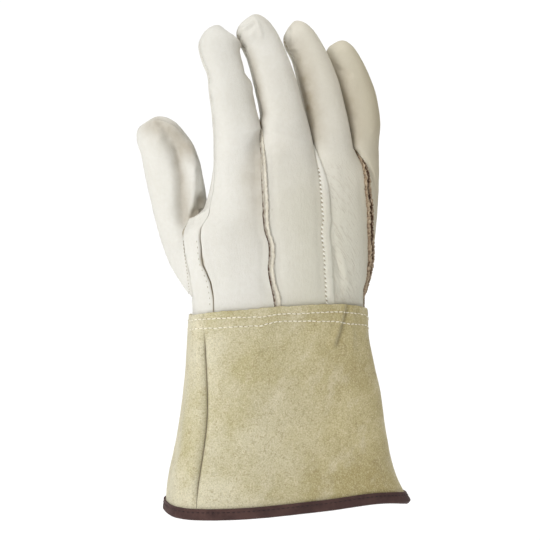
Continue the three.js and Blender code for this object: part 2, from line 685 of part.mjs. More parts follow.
// The binding: tape folded round the hem, outside and inside. Each point of its profile is given by a row of the
// cuff's skin (0 the hem, 1 the binding's top), how far outside that skin it is and how far below.
function binding() {
  const [out, inn] = [gap, suede + gap];
  const profile = [
    [1, -inn - tape, 0],
    [1, -inn, 0],
    [0, -inn, gap],
    [0, out, gap],
    [1, out, 0],
    [1, out + tape, 0],
    [0, out + tape, cuffBottom],
    [0, -inn - tape, cuffBottom],
  ];
  const high = (bindingHeight - cuffBottom) / (cuffHeight - cuffBottom);
  const back = patch(cuffSkin("back"), [0, high], cuffSteps, false).map((row) => row.slice(0, -1));
  const palm = patch(cuffSkin("palm"), [0, high], cuffSteps, true).map((row) => row.slice(1).reverse());
  const rows = [0, 1].map((r) => [...back[r], ...palm[r]]);
  const rings = rows[0].map((_, k) =>
    profile.map(([row, move, down]) => {
      const { at, normal } = rows[row][k];
      return at.clone().addScaledVector(normal, move).add(new THREE.Vector3(0, 0, -down));
    }),
  );
  return sweep(rings, true);
}

const finish = {
  leather: new THREE.MeshStandardMaterial({ name: "leather", color: 0xe4dfcf, roughness: 0.55, metalness: 0 }),
  raw: new THREE.MeshStandardMaterial({ name: "raw", color: 0xc9b9a0, roughness: 0.9, metalness: 0 }),
  suede: new THREE.MeshStandardMaterial({ name: "suede", color: 0xbdb48c, roughness: 0.95, metalness: 0 }),
  tape: new THREE.MeshStandardMaterial({ name: "tape", color: 0x4a3532, roughness: 0.8, metalness: 0 }),
};

// A manifold solid as a named mesh.
function mesh(name, made, material) {
  const { numProp, vertProperties, triVerts } = made.getMesh();
  const positions = new Float32Array((vertProperties.length / numProp) * 3);
  for (let k = 0; k < positions.length / 3; k++) {
    positions.set(vertProperties.subarray(k * numProp, k * numProp + 3), k * 3);
  }
  const geometry = new THREE.BufferGeometry();
  geometry.setAttribute("position", new THREE.BufferAttribute(positions, 3));
  geometry.setIndex(new THREE.BufferAttribute(triVerts, 1));
  const shown = new THREE.Mesh(geometry.toNonIndexed(), material);
  shown.geometry.computeVertexNormals();
  shown.name = name;
  return shown;
}

// The palm panel with its opening: the plug can leave a loose sliver beside the rim, so only the panel is kept.
function openedPalm() {
  const pieces = palmPanel().subtract(thumbPlug()).decompose();
  return pieces.sort((a, b) => b.volume() - a.volume())[0];
}

const hand = new THREE.Group();
fingers.forEach(({ name }, i) => hand.add(mesh(name + "_back", backPanel(i), finish.leather)));
hand.add(mesh("palm_panel", openedPalm(), finish.leather));
hand.add(mesh("thumb_back", thumbPanel("back"), finish.leather));
hand.add(mesh("thumb_front", thumbPanel("palm"), finish.leather));
hand.add(mesh("welt_index_middle", welt(1, flatWelt), finish.leather));
hand.add(mesh("welt_middle_ring", welt(2, flatWelt), finish.leather));
hand.add(mesh("raw_seam_ring_little", welt(3, rawWelt), finish.raw));

const cuff = new THREE.Group();
cuff.add(mesh("cuff_back", cuffPanel("back"), finish.suede));
cuff.add(mesh("cuff_palm", cuffPanel("palm"), finish.suede));
cuff.add(mesh("hem_binding", binding(), finish.tape));

const glove = new THREE.Group();
glove.add(cuff, hand);
export default glove;
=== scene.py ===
"""A leather gauntlet glove for the right hand, held in the form that a hand gives it.

The surfaces are worked out in millimetres in the frame's own axes: +Z to the fingertips, -Y the back of the
hand, +Y the palm, -X the thumb side. Meshes are made in metres.
"""

import math

import bpy
import numpy as np
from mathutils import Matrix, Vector


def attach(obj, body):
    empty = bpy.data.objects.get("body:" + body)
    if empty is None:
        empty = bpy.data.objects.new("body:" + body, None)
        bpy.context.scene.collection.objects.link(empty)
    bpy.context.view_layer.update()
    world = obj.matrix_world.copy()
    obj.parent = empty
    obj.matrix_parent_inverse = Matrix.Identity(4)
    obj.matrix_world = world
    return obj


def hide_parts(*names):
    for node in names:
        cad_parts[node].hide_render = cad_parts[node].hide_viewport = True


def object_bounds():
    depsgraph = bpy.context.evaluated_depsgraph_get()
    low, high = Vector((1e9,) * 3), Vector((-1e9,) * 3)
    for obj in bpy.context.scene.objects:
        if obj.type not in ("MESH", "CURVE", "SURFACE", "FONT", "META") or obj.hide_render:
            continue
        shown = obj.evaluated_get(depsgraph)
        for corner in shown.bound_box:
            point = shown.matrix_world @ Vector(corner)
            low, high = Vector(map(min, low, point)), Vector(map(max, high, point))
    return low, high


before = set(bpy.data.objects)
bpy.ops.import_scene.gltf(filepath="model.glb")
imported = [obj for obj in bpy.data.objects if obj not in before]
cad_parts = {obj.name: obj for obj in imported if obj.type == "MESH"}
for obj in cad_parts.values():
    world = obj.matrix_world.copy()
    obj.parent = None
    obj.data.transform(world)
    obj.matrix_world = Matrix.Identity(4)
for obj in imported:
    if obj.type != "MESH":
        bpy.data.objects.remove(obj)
cad_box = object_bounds()

MM = 0.001

# Thickness of the walls, and the gap between pieces that meet
LEATHER = 1.4
SUEDE = 1.8
TAPE = 1.1
GAP = 0.32

# Cuff
CUFF_HEIGHT = 135
HEM_WIDTH = 170
HEM_DEPTH = 68
WRIST_WIDTH = 124
WRIST_DEPTH = 50
WRIST_SHIFT = -6.5
CUFF_LAP = 14
EASE = 0.2
BINDING_HEIGHT = 7.5
CUFF_FOLD = 1.6
EDGE_WAVE = 6

# Hand
PALM_LENGTH = 124
PALM_WIDTH = 120
PALM_DEPTH = 48
CROWN = 1.6
RAY_WIDTH = 30
RAY_DEPTH = 23
FINGER_LENGTH = 89
WELT_WIDTH = 3.6

# Thumb
THUMB_LENGTH = 104
THUMB_WIDTH = 38
THUMB_DEPTH = 30
THUMB_TURN = 24
ROOT_SWELL_OUTER = 0.3
ROOT_SWELL_INNER = 0.6


def table(columns, rows):
    """A short table with named columns, as one array a column."""
    return {name: np.array([row[k] for row in rows], float) for k, name in enumerate(columns.split())}


CUFF_SECTIONS = table("at thumb little depth square", [
    (0, 1, 1, 1, 2.9),
    (0.14, 0.88, 0.68, 0.84, 2.9),
    (0.35, 0.55, 0.41, 0.6, 2.8),
    (0.6, 0.24, 0.22, 0.32, 2.7),
    (0.85, 0.09, 0.01, 0.1, 2.5),
    (1, 0, 0, 0, 2.4),
])

# Rise of the cuff's top edge and hem round the outline, as shares of EDGE_WAVE. 90 degrees is the back.
CUFF_EDGES = table("at top hem", [
    (0, -0.2, 0),
    (60, 0.7, 0),
    (100, 0.95, 0.25),
    (125, 0.75, 0.5),
    (148, 0.15, -0.1),
    (170, -0.75, -0.55),
    (195, -0.85, -0.5),
    (240, -0.85, 0.1),
    (300, -0.65, 0.1),
    (360, -0.2, 0),
])

CUFF_SEAMS = table("at thumb little", [
    (0, 40, 190),
    (0.25, 40.5, 190),
    (0.5, 40, 190),
    (0.8, 34, 190),
    (1, 29, 190),
])

CUFF_FOLDS = table("angle up wide tall depth", [
    (138, 0.9, 11, 0.2, 0.6),
    (158, 0.62, 14, 0.3, -0.9),
    (104, 0.45, 16, 0.4, 0.7),
    (68, 0.3, 14, 0.4, -0.6),
    (250, 0.5, 22, 0.4, 0.9),
])

HAND_SECTIONS = table("at thumb little back palm lift square", [
    (0, -0.545, 0.42, 0.475, 0.475, 0, 2.4),
    (0.12, -0.548, 0.435, 0.475, 0.475, 0, 2.4),
    (0.35, -0.598, 0.495, 0.47, 0.47, 0.02, 2.4),
    (0.48, -0.605, 0.51, 0.45, 0.46, 0.03, 2.4),
    (0.54, -0.58, 0.516, 0.44, 0.45, 0.035, 2.4),
    (0.62, -0.485, 0.524, 0.42, 0.44, 0.04, 2.4),
    (0.8, -0.43, 0.542, 0.335, 0.38, 0.05, 2.3),
    (1, -0.418, 0.565, 0.21, 0.3, 0.06, 2.2),
])

SEAM_LINES = table("at edge index middle ring", [
    (0, 0.097, 0.45, 0.75, 0.985),
    (0.18, 0.095, 0.429, 0.742, 0.985),
    (0.26, 0.1, 0.408, 0.729, 0.976),
    (0.33, 0.102, 0.4, 0.716, 0.967),
    (0.39, 0.097, 0.407, 0.711, 0.964),
    (0.45, 0.085, 0.406, 0.705, 0.96),
    (0.5, 0.064, 0.386, 0.695, 0.952),
    (0.55, 0.04, 0.36, 0.682, 0.942),
    (0.6, 0.021, 0.316, 0.666, 0.934),
    (0.65, 0.008, 0.294, 0.65, 0.925),
    (0.75, 0.004, 0.27, 0.632, 0.905),
    (0.87, 0.001, 0.261, 0.612, 0.888),
    (1, 0, 0.265, 0.58, 0.826),
])
SEAM_NAMES = ("edge", "index", "middle", "ring")
LITTLE_WRAP = 12

# The five places where the fingers start, from the thumb side: height and lift towards the palm.
WEB_UP = (1.06, 1.1, 1, 0.98, 0.96)
WEB_LIFT = (0.03, -0.02, 0, 0.08, 0.18)

FINGER_COLUMNS = "at flex lean width back palm"
FINGERS = (
    ("index", 0.82, table(FINGER_COLUMNS, [
        (0, 13, 4, 1.02, 0.53, 0.52),
        (0.25, 15, 6, 1, 0.48, 0.5),
        (0.42, 17, 7, 0.95, 0.46, 0.47),
        (0.56, 21, 10, 0.85, 0.43, 0.44),
        (0.68, 26, 12, 0.88, 0.43, 0.44),
        (0.84, 32, -12, 0.96, 0.44, 0.45),
        (1, 36, -40, 0.97, 0.44, 0.45),
    ])),
    ("middle", 0.966, table(FINGER_COLUMNS, [
        (0, 13, 6, 1.12, 0.53, 0.52),
        (0.22, 16, 8, 1, 0.49, 0.5),
        (0.45, 20, 10, 0.97, 0.46, 0.47),
        (0.65, 26, 12, 0.9, 0.43, 0.44),
        (0.82, 32, 22, 0.9, 0.43, 0.43),
        (1, 36, 32, 0.88, 0.43, 0.43),
    ])),
    ("ring", 1, table(FINGER_COLUMNS, [
        (0, 13, 6, 1, 0.52, 0.52),
        (0.22, 16, 8, 0.96, 0.48, 0.5),
        (0.45, 20, 9, 0.92, 0.46, 0.46),
        (0.65, 26, 11, 0.86, 0.43, 0.43),
        (0.82, 32, 24, 0.8, 0.41, 0.41),
        (1, 36, 38, 0.8, 0.4, 0.4),
    ])),
    ("little", 0.865, table(FINGER_COLUMNS, [
        (0, 12, -4, 0.72, 0.46, 0.48),
        (0.22, 14, 3, 0.8, 0.44, 0.46),
        (0.45, 18, 9, 0.84, 0.42, 0.43),
        (0.65, 24, 14, 0.78, 0.4, 0.4),
        (0.82, 30, 19, 0.74, 0.38, 0.38),
        (1, 34, 24, 0.7, 0.36, 0.36),
    ])),
)

THUMB_HOLE = {"up": 0.385, "tall": 0.215, "across": 0.554, "wide": 0.298, "skew": -0.066, "square": 2.3}
THUMB_SECTIONS = table("at up side lift width back palm", [
    (0.33, 0.65, -0.565, 0.54, 0.96, 0.42, 0.54),
    (0.5, 0.77, -0.587, 0.55, 0.99, 0.47, 0.52),
    (0.7, 0.92, -0.62, 0.56, 0.98, 0.46, 0.48),
    (0.85, 1.02, -0.667, 0.58, 0.86, 0.42, 0.42),
    (1, 1.13, -0.752, 0.6, 0.66, 0.36, 0.36),
])

# Where the fingers part on a ray, how square their rings are, how narrow and how long their rounded ends are,
# and the share of a finger over which it leaves the web's form.
PART_FROM = 0.74
RING_SQUARE = 2.3
TIP_SEAM = 0.45
TIP_ROUND = 0.44
THUMB_ROUND = 0.4
FINGER_ROOT = 0.22

# Heights of the hem's edge, of the cuff's highest edge and of the hand's lower end inside the cuff. Above the
# cuff the hand takes its own form within LAP_BLEND.
CUFF_BOTTOM = TAPE + GAP
CUFF_RUN = CUFF_HEIGHT - CUFF_BOTTOM
LAP_TOP = CUFF_HEIGHT + EDGE_WAVE
LAP_BLEND = 14
HAND_BOTTOM = CUFF_HEIGHT - CUFF_LAP

# Steps along a finger's middle line, the step that slopes are measured with, and how near an edge.
WALK = 60
SMALL = 1e-3
NEAR_EDGE = 0.01


def mix(a, b, t):
    return a + (b - a) * t


def smooth(t):
    t = np.clip(t, 0, 1)
    return t * t * (3 - 2 * t)


def bump(x, width):
    """A smooth hump of height 1 round x = 0."""
    return np.exp(-((x / width) ** 2))


def column(data, name, at):
    """A named column at a place on its "at" column, on a smooth curve through the rows."""
    places, values = data["at"], data[name]
    last = len(places) - 1
    low = np.maximum(np.arange(last + 1) - 1, 0)
    high = np.minimum(np.arange(last + 1) + 1, last)
    slopes = (values[high] - values[low]) / (places[high] - places[low])
    at = np.asarray(at, float)
    k = np.clip(np.searchsorted(places, at) - 1, 0, last - 1)
    step = places[k + 1] - places[k]
    t = np.clip((at - places[k]) / step, 0, 1)
    t2, t3 = t * t, t * t * t
    ends = (2 * t3 - 3 * t2 + 1) * values[k] + (3 * t2 - 2 * t3) * values[k + 1]
    return ends + (t3 - 2 * t2 + t) * step * slopes[k] + (t3 - t2) * step * slopes[k + 1]


def vector(x, y, z):
    return np.stack(np.broadcast_arrays(np.asarray(x, float), y, z), -1)


def unit(v):
    return v / np.maximum(np.linalg.norm(v, axis=-1, keepdims=True), 1e-12)


def times(number, v):
    return np.asarray(number, float)[..., None] * v


def rounded(degrees, square):
    """A point of the unit superellipse in the direction of an angle."""
    c, s = np.cos(np.radians(degrees)), np.sin(np.radians(degrees))
    r = (np.abs(c) ** square + np.abs(s) ** square) ** (-1 / square)
    return c * r, s * r


def on_section(s, degrees, z):
    """A point of a level section: 0 degrees is its thumb side, 90 its back and 180 its little side."""
    c, n = rounded(degrees, s["square"])
    x = (s["thumb"] + s["little"]) / 2 - ((s["little"] - s["thumb"]) / 2) * c
    return vector(x, s["lift"] - np.where(n > 0, s["back"], s["palm"]) * n, z)


def angle_at(share, square):
    """The angle on a section's back at which a share of its width is reached."""
    c = 1 - 2 * share
    n = (1 - np.abs(c) ** square) ** (1 / square)
    return np.degrees(np.arctan2(n, c))


def normal_of(surface, v, c, low, high):
    across = surface(v, c + SMALL) - surface(v, c - SMALL)
    up = surface(np.minimum(v + SMALL, high), c) - surface(np.maximum(v - SMALL, low), c)
    return unit(np.cross(across, up))


def cuff_point(up, degrees):
    """The cuff's outer surface, from the hem (up 0) to the top edge (up 1)."""
    wider = (HEM_WIDTH - WRIST_WIDTH) / 2
    deeper = (column(CUFF_SECTIONS, "depth", up) * (HEM_DEPTH - WRIST_DEPTH) + WRIST_DEPTH) / 2
    thumb, little = column(CUFF_SECTIONS, "thumb", up), column(CUFF_SECTIONS, "little", up)
    section = {
        "thumb": mix(WRIST_SHIFT, 0, thumb) - WRIST_WIDTH / 2 - wider * thumb,
        "little": mix(WRIST_SHIFT, 0, little) + WRIST_WIDTH / 2 + wider * little,
        "back": deeper,
        "palm": deeper,
        "lift": 0,
        "square": column(CUFF_SECTIONS, "square", up),
    }
    turn = np.mod(degrees, 360)
    top = CUFF_HEIGHT + EDGE_WAVE * column(CUFF_EDGES, "top", turn)
    bottom = CUFF_BOTTOM + EDGE_WAVE * column(CUFF_EDGES, "hem", turn)
    p = on_section(section, degrees, mix(bottom, top, up))
    dent = 0
    for angle, height, wide, tall, depth in zip(*CUFF_FOLDS.values()):
        away = (np.mod(degrees - angle + 540, 360) - 180) / wide
        dent = dent + depth * np.exp(-(away ** 2) - ((up - height) / tall) ** 2)
    inwards = unit(vector(WRIST_SHIFT - p[..., 0], -p[..., 1] * 3, 0))
    return p + times(dent * CUFF_FOLD, inwards)


def cuff_plain(side):
    """One half of the cuff before it is dressed, as a function of (up, c)."""
    def plain(up, c):
        a, b = column(CUFF_SEAMS, "thumb", up), column(CUFF_SEAMS, "little", up)
        return cuff_point(up, mix(a, b, c) if side == "back" else mix(a, b - 360, c))

    return plain


def hand_section(up):
    sizes = {
        "thumb": PALM_WIDTH,
        "little": PALM_WIDTH,
        "back": PALM_DEPTH,
        "palm": PALM_DEPTH,
        "lift": PALM_DEPTH,
    }
    section = {name: column(HAND_SECTIONS, name, up) * size for name, size in sizes.items()}
    section["square"] = column(HAND_SECTIONS, "square", up)
    return section


def tuck_into_cuff(point, degrees):
    """Below LAP_TOP the hand follows the inside of the cuff."""
    z = point[..., 2]
    free = smooth((z - LAP_TOP) / LAP_BLEND)
    up = np.minimum((z - CUFF_BOTTOM) / CUFF_RUN, 1)
    inside = cuff_point(up, degrees) - (SUEDE + GAP + EASE) * normal_of(cuff_point, up, degrees, 0, 1)
    inside[..., 2] = z
    return inside + times(free, point - inside)


def seam_height(j, v):
    return HAND_BOTTOM + WEB_UP[j] * PALM_LENGTH * v


def seam_angle(j, v, side):
    if j == 4:
        return np.full_like(v, (180 if side == "back" else -180) + LITTLE_WRAP)
    angle = angle_at(column(SEAM_LINES, SEAM_NAMES[j], v), hand_section(v)["square"])
    return angle if side == "back" or j == 0 else -angle


def web_point(j, v):
    """Where seam j would run if the fingers went on below their webs."""
    section = hand_section(v)
    share = 1 if j == 4 else 0 if j == 0 else column(SEAM_LINES, SEAM_NAMES[j], v)
    lift = mix(section["lift"], section["lift"] + WEB_LIFT[j] * PALM_DEPTH, v)
    return vector(mix(section["thumb"], section["little"], share), lift, seam_height(j, v))


def half_ring(left, right, out, depth, turn, square):
    c, n = rounded(turn, square)
    return (left + right) / 2 + times(c, (left - right) / 2) + times(depth * n, out)


def hand_point(i, side, v, c):
    """The hand below the webs: ray i between seams i and i + 1."""
    v = np.clip(v, 0, 1)
    angle = mix(seam_angle(i, v, side), seam_angle(i + 1, v, side), c)
    z = mix(seam_height(i, v), seam_height(i + 1, v), c)
    swell = CROWN * np.sin(np.pi * c) if side == "back" else 0 * c
    body = tuck_into_cuff(on_section(hand_section(v), angle, z) + vector(0, -swell, 0), angle)
    sign = 1 if side == "back" else -1
    depth = FINGERS[i][2][side][0] * RAY_DEPTH
    out = np.array([0.0, -sign, 0.0])
    finger = half_ring(web_point(i, v), web_point(i + 1, v), out, depth, 180 * c, RING_SQUARE)
    t = np.clip((v - PART_FROM) / (1 - PART_FROM), 0, 1)
    return body + times(mix(t * t, smooth(t), np.sin(np.pi * c) ** 4), finger - body)


def spine_of(i):
    """The middle line of a finger with its frame, found by walking up it in small steps."""
    _, length, sections = FINGERS[i]
    k = np.arange(WALK + 1) / WALK
    flex, lean = np.radians(column(sections, "flex", k)), np.radians(column(sections, "lean", k))
    up = vector(-np.sin(lean), np.sin(flex) * np.cos(lean), np.cos(flex) * np.cos(lean))
    across = unit(vector(np.cos(lean), 0, 0) + times(np.sin(lean), up))
    start = (web_point(i, np.float64(1)) + web_point(i + 1, np.float64(1))) / 2
    steps = np.cumsum(up[:-1], 0) * length * FINGER_LENGTH / WALK
    at = start + np.concatenate([np.zeros((1, 3)), steps])
    return {"at": at, "across": across, "out": np.cross(across, up)}


SPINES = [spine_of(i) for i in range(len(FINGERS))]


def on_spine(line, share):
    k = np.minimum((share * WALK).astype(int), WALK - 1)
    t = share * WALK - k
    at = line["at"][k] + times(t, line["at"][k + 1] - line["at"][k])
    across = unit(line["across"][k] + times(t, line["across"][k + 1] - line["across"][k]))
    out = unit(line["out"][k] + times(t, line["out"][k + 1] - line["out"][k]))
    return at, across, out


def end_width(turn):
    return mix(TIP_SEAM, 1, np.cos(np.radians(turn)))


def finger_point(i, side, s, c):
    """A finger above its web: s from 0 to 1 is its straight part, and from 1 to 2 its rounded end."""
    _, length, sections = FINGERS[i]
    end_share = TIP_ROUND * RAY_WIDTH / (length * FINGER_LENGTH)
    turn = 90 * np.clip(s - 1, 0, 1)
    share = np.where(s <= 1, s * (1 - end_share), 1 - end_share + end_share * np.sin(np.radians(turn)))
    at, across, out = on_spine(SPINES[i], share)
    half = column(sections, "width", share) * RAY_WIDTH / 2
    root = smooth(share / FINGER_ROOT)
    left, right = web_point(i, np.float64(1)), web_point(i + 1, np.float64(1))
    first = (right - left) / 2
    step = first + times(root, times(half, across) - first)
    step = times(np.where(s > 1, end_width(turn), 1), step)
    sign = 1 if side == "back" else -1
    back = np.array([0.0, -1.0, 0.0])
    out = sign * unit(back + times(root, out - back))
    depth = column(sections, side, share) * RAY_DEPTH * np.where(s > 1, np.cos(np.radians(turn)), 1)
    return half_ring(at - step, at + step, out, depth, 180 * c, RING_SQUARE)


def ray_point(i, side, v, c):
    """One ray of the hand from the cuff (v 0) over the web (v 1) to the fingertip (v 3)."""
    v, c = np.broadcast_arrays(np.asarray(v, float), np.asarray(c, float))
    low = hand_point(i, side, np.minimum(v, 1), c)
    high = finger_point(i, side, np.clip(v - 1, 0, 2), c)
    return np.where((v <= 1)[..., None], low, high)


def ray_plain(i, side):
    """One side of a ray before it is dressed, as a function of (v, c)."""
    return lambda v, c: ray_point(i, side, v, c)


def rim_point(degrees):
    """The thumb's opening: a point of its rim on the palm panel's skin, with the skin's normal."""
    c, s = rounded(degrees, THUMB_HOLE["square"])
    v = THUMB_HOLE["up"] - THUMB_HOLE["tall"] * c
    across = THUMB_HOLE["across"] - THUMB_HOLE["wide"] * s + THUMB_HOLE["skew"] * c
    skin = ray_plain(0, "palm")
    return skin(v, across), -normal_of(skin, v, across, 0, 1)


def thumb_centre(share):
    at = lambda name: column(THUMB_SECTIONS, name, share)
    return vector(at("side") * PALM_WIDTH, at("lift") * PALM_DEPTH, HAND_BOTTOM + at("up") * PALM_LENGTH)


def thumb_ring(share, turn, degrees):
    up = unit(thumb_centre(share + 0.02) - thumb_centre(share - 0.02))
    side = np.array([math.cos(math.radians(THUMB_TURN)), -math.sin(math.radians(THUMB_TURN)), 0.0])
    across = unit(side - times(up @ side, up))
    out = np.cross(across, up)
    c, n = rounded(degrees, RING_SQUARE)
    half = column(THUMB_SECTIONS, "width", share) * THUMB_WIDTH * np.where(turn > 0, end_width(turn), 1) / 2
    back, palm = column(THUMB_SECTIONS, "back", share), column(THUMB_SECTIONS, "palm", share)
    depth = np.where(n > 0, back, palm) * THUMB_DEPTH * np.cos(np.radians(turn))
    return thumb_centre(share) + times(-half * c, across) + times(depth * n, out)


def thumb_point(t, degrees):
    """The thumb's outer surface: t from 0 at the rim to 1 where its rounded end starts and 2 at its tip seam.

    Turn 0 faces the outside of the hand, 90 the back, 180 the index finger and 270 the palm.
    """
    t, degrees = np.broadcast_arrays(np.asarray(t, float), np.asarray(degrees, float))
    first = THUMB_SECTIONS["at"][0]
    end_share = THUMB_ROUND * THUMB_DEPTH / THUMB_LENGTH
    turn = 90 * np.clip(t - 1, 0, 1)
    share = np.where(t > 1, 1 - end_share + end_share * np.sin(np.radians(turn)), t * (1 - end_share))
    free = thumb_ring(np.maximum(share, first), turn, degrees)
    rim, rim_normal = rim_point(degrees)
    start = thumb_ring(np.full_like(share, first), 0 * share, degrees)
    reach = np.linalg.norm(start - rim, axis=-1)
    slope = times(reach, unit(thumb_ring(np.full_like(share, first + 0.05), 0 * share, degrees) - start))
    swell = mix(ROOT_SWELL_INNER, ROOT_SWELL_OUTER, (1 + np.cos(np.radians(degrees))) / 2) * reach
    leave = start - rim + times(swell, rim_normal)
    k = np.clip(share / first, 0, 1)
    k2, k3 = k * k, k * k * k
    root = times(2 * k3 - 3 * k2 + 1, rim) + times(k3 - 2 * k2 + k, leave)
    root = root + times(3 * k2 - 2 * k3, start) + times(k3 - k2, slope)
    return np.where((share >= first)[..., None], free, root)


def thumb_plain(side):
    """One half of the thumb before it is dressed, as a function of (t, c)."""
    sign = 1 if side == "back" else -1
    return lambda t, c: thumb_point(t, 180 * sign * c)


def folds(*rows):
    return [{"width": width, "height": height, "path": path} for width, height, path in rows]


# The cuff's sharp crease below its top edge, as (up, degrees).
CUFF_CREASE = ((1.0, 130.5), (0.93, 128), (0.86, 124.5), (0.8, 121))

# Relief that the plain surfaces don't have, as rows of width, height and path. Widths and heights are in
# millimetres, and a height below 0 is a valley. Paths are places on a surface: rays take (v, c), the thumb
# (t, degrees) and the cuff (up, degrees).
FOLDS = {
    "thumb": folds(
        (4.8, -3.4, ((0.86, 124), (0.67, 117), (0.56, 110), (0.43, 104), (0.29, 103), (0.16, 106))),
        (7.5, -2.8, ((1.4, 136), (1.1, 132), (0.9, 124), (0.78, 118))),
        (4.0, 1.0, ((1.3, 98), (0.97, 104), (0.81, 97), (0.65, 92), (0.48, 89))),
        (2.4, 1.9, ((0.7, 140), (0.58, 133), (0.46, 126), (0.35, 116), (0.27, 112))),
        (4.2, -2.6, ((0.44, 150), (0.36, 143), (0.26, 130))),
        (3.2, -0.6, ((0.76, 168), (0.68, 160))),
        (4.0, -1.5, ((1.52, 92), (1.36, 95))),
        (3.0, 1.0, ((1.72, 120), (1.3, 118), (1.05, 108))),
        (5.0, -0.8, ((1.5, 136), (1.2, 140))),
        (1.8, -1.0, ((0.72, 176), (0.78, 168))),
        (5.0, 1.5, ((0.85, 160), (0.68, 158), (0.55, 154))),
        (6.0, -1.0, ((0.95, 108), (0.65, 98), (0.42, 94))),
    ),
    "index_back": folds(
        (2.6, 1.1, ((1.52, 0.9), (1.46, 0.84))),
        (2.4, -0.9, ((1.6, 0.8), (1.66, 0.95))),
        (5.0, 0.8, ((2.7, 0.8), (2.4, 0.88))),
        (1.8, 0.7, ((1.56, 0.02), (1.5, 0.1))),
        (1.8, 0.6, ((1.3, 0.02), (1.24, 0.1))),
    ),
    "middle_back": folds(
        (1.5, 0.8, ((2.62, 0.6), (2.2, 0.53), (1.93, 0.46))),
        (3.4, -0.35, ((2.5, 0.4), (2.1, 0.34))),
        (1.6, 0.9, ((2.34, 0.1), (2.31, 0.3), (2.33, 0.46))),
        (1.7, 0.8, ((2.02, 0.08), (1.98, 0.34))),
        (1.4, -0.8, ((2.2, 0.08), (2.16, 0.4))),
        (1.5, -0.7, ((1.92, 0.06), (1.9, 0.3))),
        (1.4, -0.8, ((2.52, 0.3), (2.44, 0.44))),
        (1.8, -0.6, ((2.4, 0.7), (2.05, 0.74))),
    ),
    "ring_back": folds(
        (1.5, -0.7, ((2.6, 0.36), (2.2, 0.2), (2.0, 0.1))),
        (1.6, 0.6, ((1.98, 0.06), (1.92, 0.22))),
        (1.6, -0.5, ((1.84, 0.05), (1.8, 0.2))),
        (2.0, -0.7, ((0.45, 0.12), (0.28, 0.2), (0.16, 0.16))),
        (1.6, 0.4, ((0.4, 0.24), (0.25, 0.34))),
        (0.9, -0.5, ((0.3, 0.05), (0.22, 0.2), (0.13, 0.34))),
        (0.8, -0.45, ((0.22, 0.2), (0.12, 0.12))),
        (0.8, -0.35, ((0.42, 0.1), (0.3, 0.24), (0.18, 0.44))),
    ),
    "little_back": folds(
        (2.4, -1.0, ((1.9, 0.2), (1.78, 0.36))),
        (2.4, -0.6, ((1.3, 0.3), (1.18, 0.5))),
        (1.6, -0.9, ((0.99, 0.04), (0.86, 0.2), (0.72, 0.3))),
        (1.2, 0.4, ((0.96, 0.14), (0.85, 0.32))),
    ),
    "index_palm": folds(
        (2.2, 1.5, ((0.61, 0.1), (0.58, 0.26), (0.56, 0.4))),
        (2.6, -1.6, ((0.66, 0.18), (0.62, 0.34))),
    ),
    "cuff": folds(
        (2.0, -1.2, CUFF_CREASE),
        (3.0, 0.8, ((0.98, 127), (0.9, 123.5), (0.8, 117))),
        (3.5, 0.7, ((0.97, 136), (0.88, 134), (0.78, 131))),
        (6.0, 0.7, ((0.9, 74), (0.75, 66))),
        (9.0, 1.0, ((0.55, 150), (0.3, 146))),
        (9.0, 1.2, ((0.6, 20), (0.2, 24))),
    ),
}

# Painted shade on the thumb, in its hollow, along its valley and on its upper right, which turns from the
# light: a path of (t, degrees), a reach in millimetres and a strength.
PAINTED_THUMB_SHADE = (
    (((0.43, 152), (0.33, 143), (0.2, 130)), 4.6, 0.6),
    (((0.86, 122), (0.56, 111), (0.3, 103)), 4.6, 0.45),
    (((1.6, 128), (1.15, 140), (0.85, 142)), 10.0, 0.5),
)

# Seams: depth and width of the dip beside a seam, and how far the leather curls up beside the back's strips.
GROOVE = 1.0
GROOVE_WIDTH = 1.5
WRAP_GROOVE = 0.9
WRAP_GROOVE_WIDTH = 0.6
CURL = 0.6
CURL_WIDTH = 2.2

# Where along v the back's seams turn into the fingers' side seams, and where painted shade darkens the
# crotches.
FINGER_SEAM_FROM = 0.86
FINGER_SEAM_TALL = 0.2
CROTCH_UP = 1.04
CROTCH_TALL = 0.11

# How far the left edge of the index finger's panel is pulled towards the thumb, in millimetres at heights v,
# and how far from the edge that reaches. The seam there gapes at its kink and is hidden above WRAP_TOP.
WRAP_PULL = ((0.14, 1.0), (0.27, 1.5), (0.33, 3.6), (0.365, 5.0), (0.41, 4.6), (0.46, 2.8), (0.53, 0))
WRAP_REACH = 12
WRAP_KINK = 0.385
WRAP_TOP = 0.59

# Painted shade between the fingers and on their right sides, which turn from the light: for each
# finger's left side, which its neighbour shades, a reach in millimetres and a strength, and for its
# right side a strength.
PAINTED_SIDE_SHADE = ((0, 0), (10, 0.45), (17, 0.72), (17, 0.55))
PAINTED_RIGHT_SHADE = (0.42, 0.18, 0.12, 0.12)

# The index fingertip bends back towards the middle finger, from TIP_FROM up: shift in millimetres.
TIP_SHIFT = (3.2, 0.0, -1.4)
TIP_FROM = 1.85
TIP_TALL = 0.9

# Slanting wrinkles on the ring finger's panel lie along this path of (v, c), within a reach in millimetres.
WRINKLED_PATH = ((0.84, 0.34), (0.5, 0.3), (0.12, 0.3))
WRINKLED_REACH = 11

# Small dark marks in the grain of the middle finger's panel: v, c and size in millimetres.
MARKS = ((0.62, 0.03, 0.8), (0.615, 0.1, 0.5), (0.36, 0.3, 0.4))

# Slow swells and small wrinkles that leather has wherever it isn't stretched: height and size of each layer.
SWELLS = ((0.35, 22), (0.16, 8), (0.05, 3))


def follow(v, rows):
    """A value at heights v on straight stretches between rows of height and value."""
    return np.interp(v, *zip(*rows))


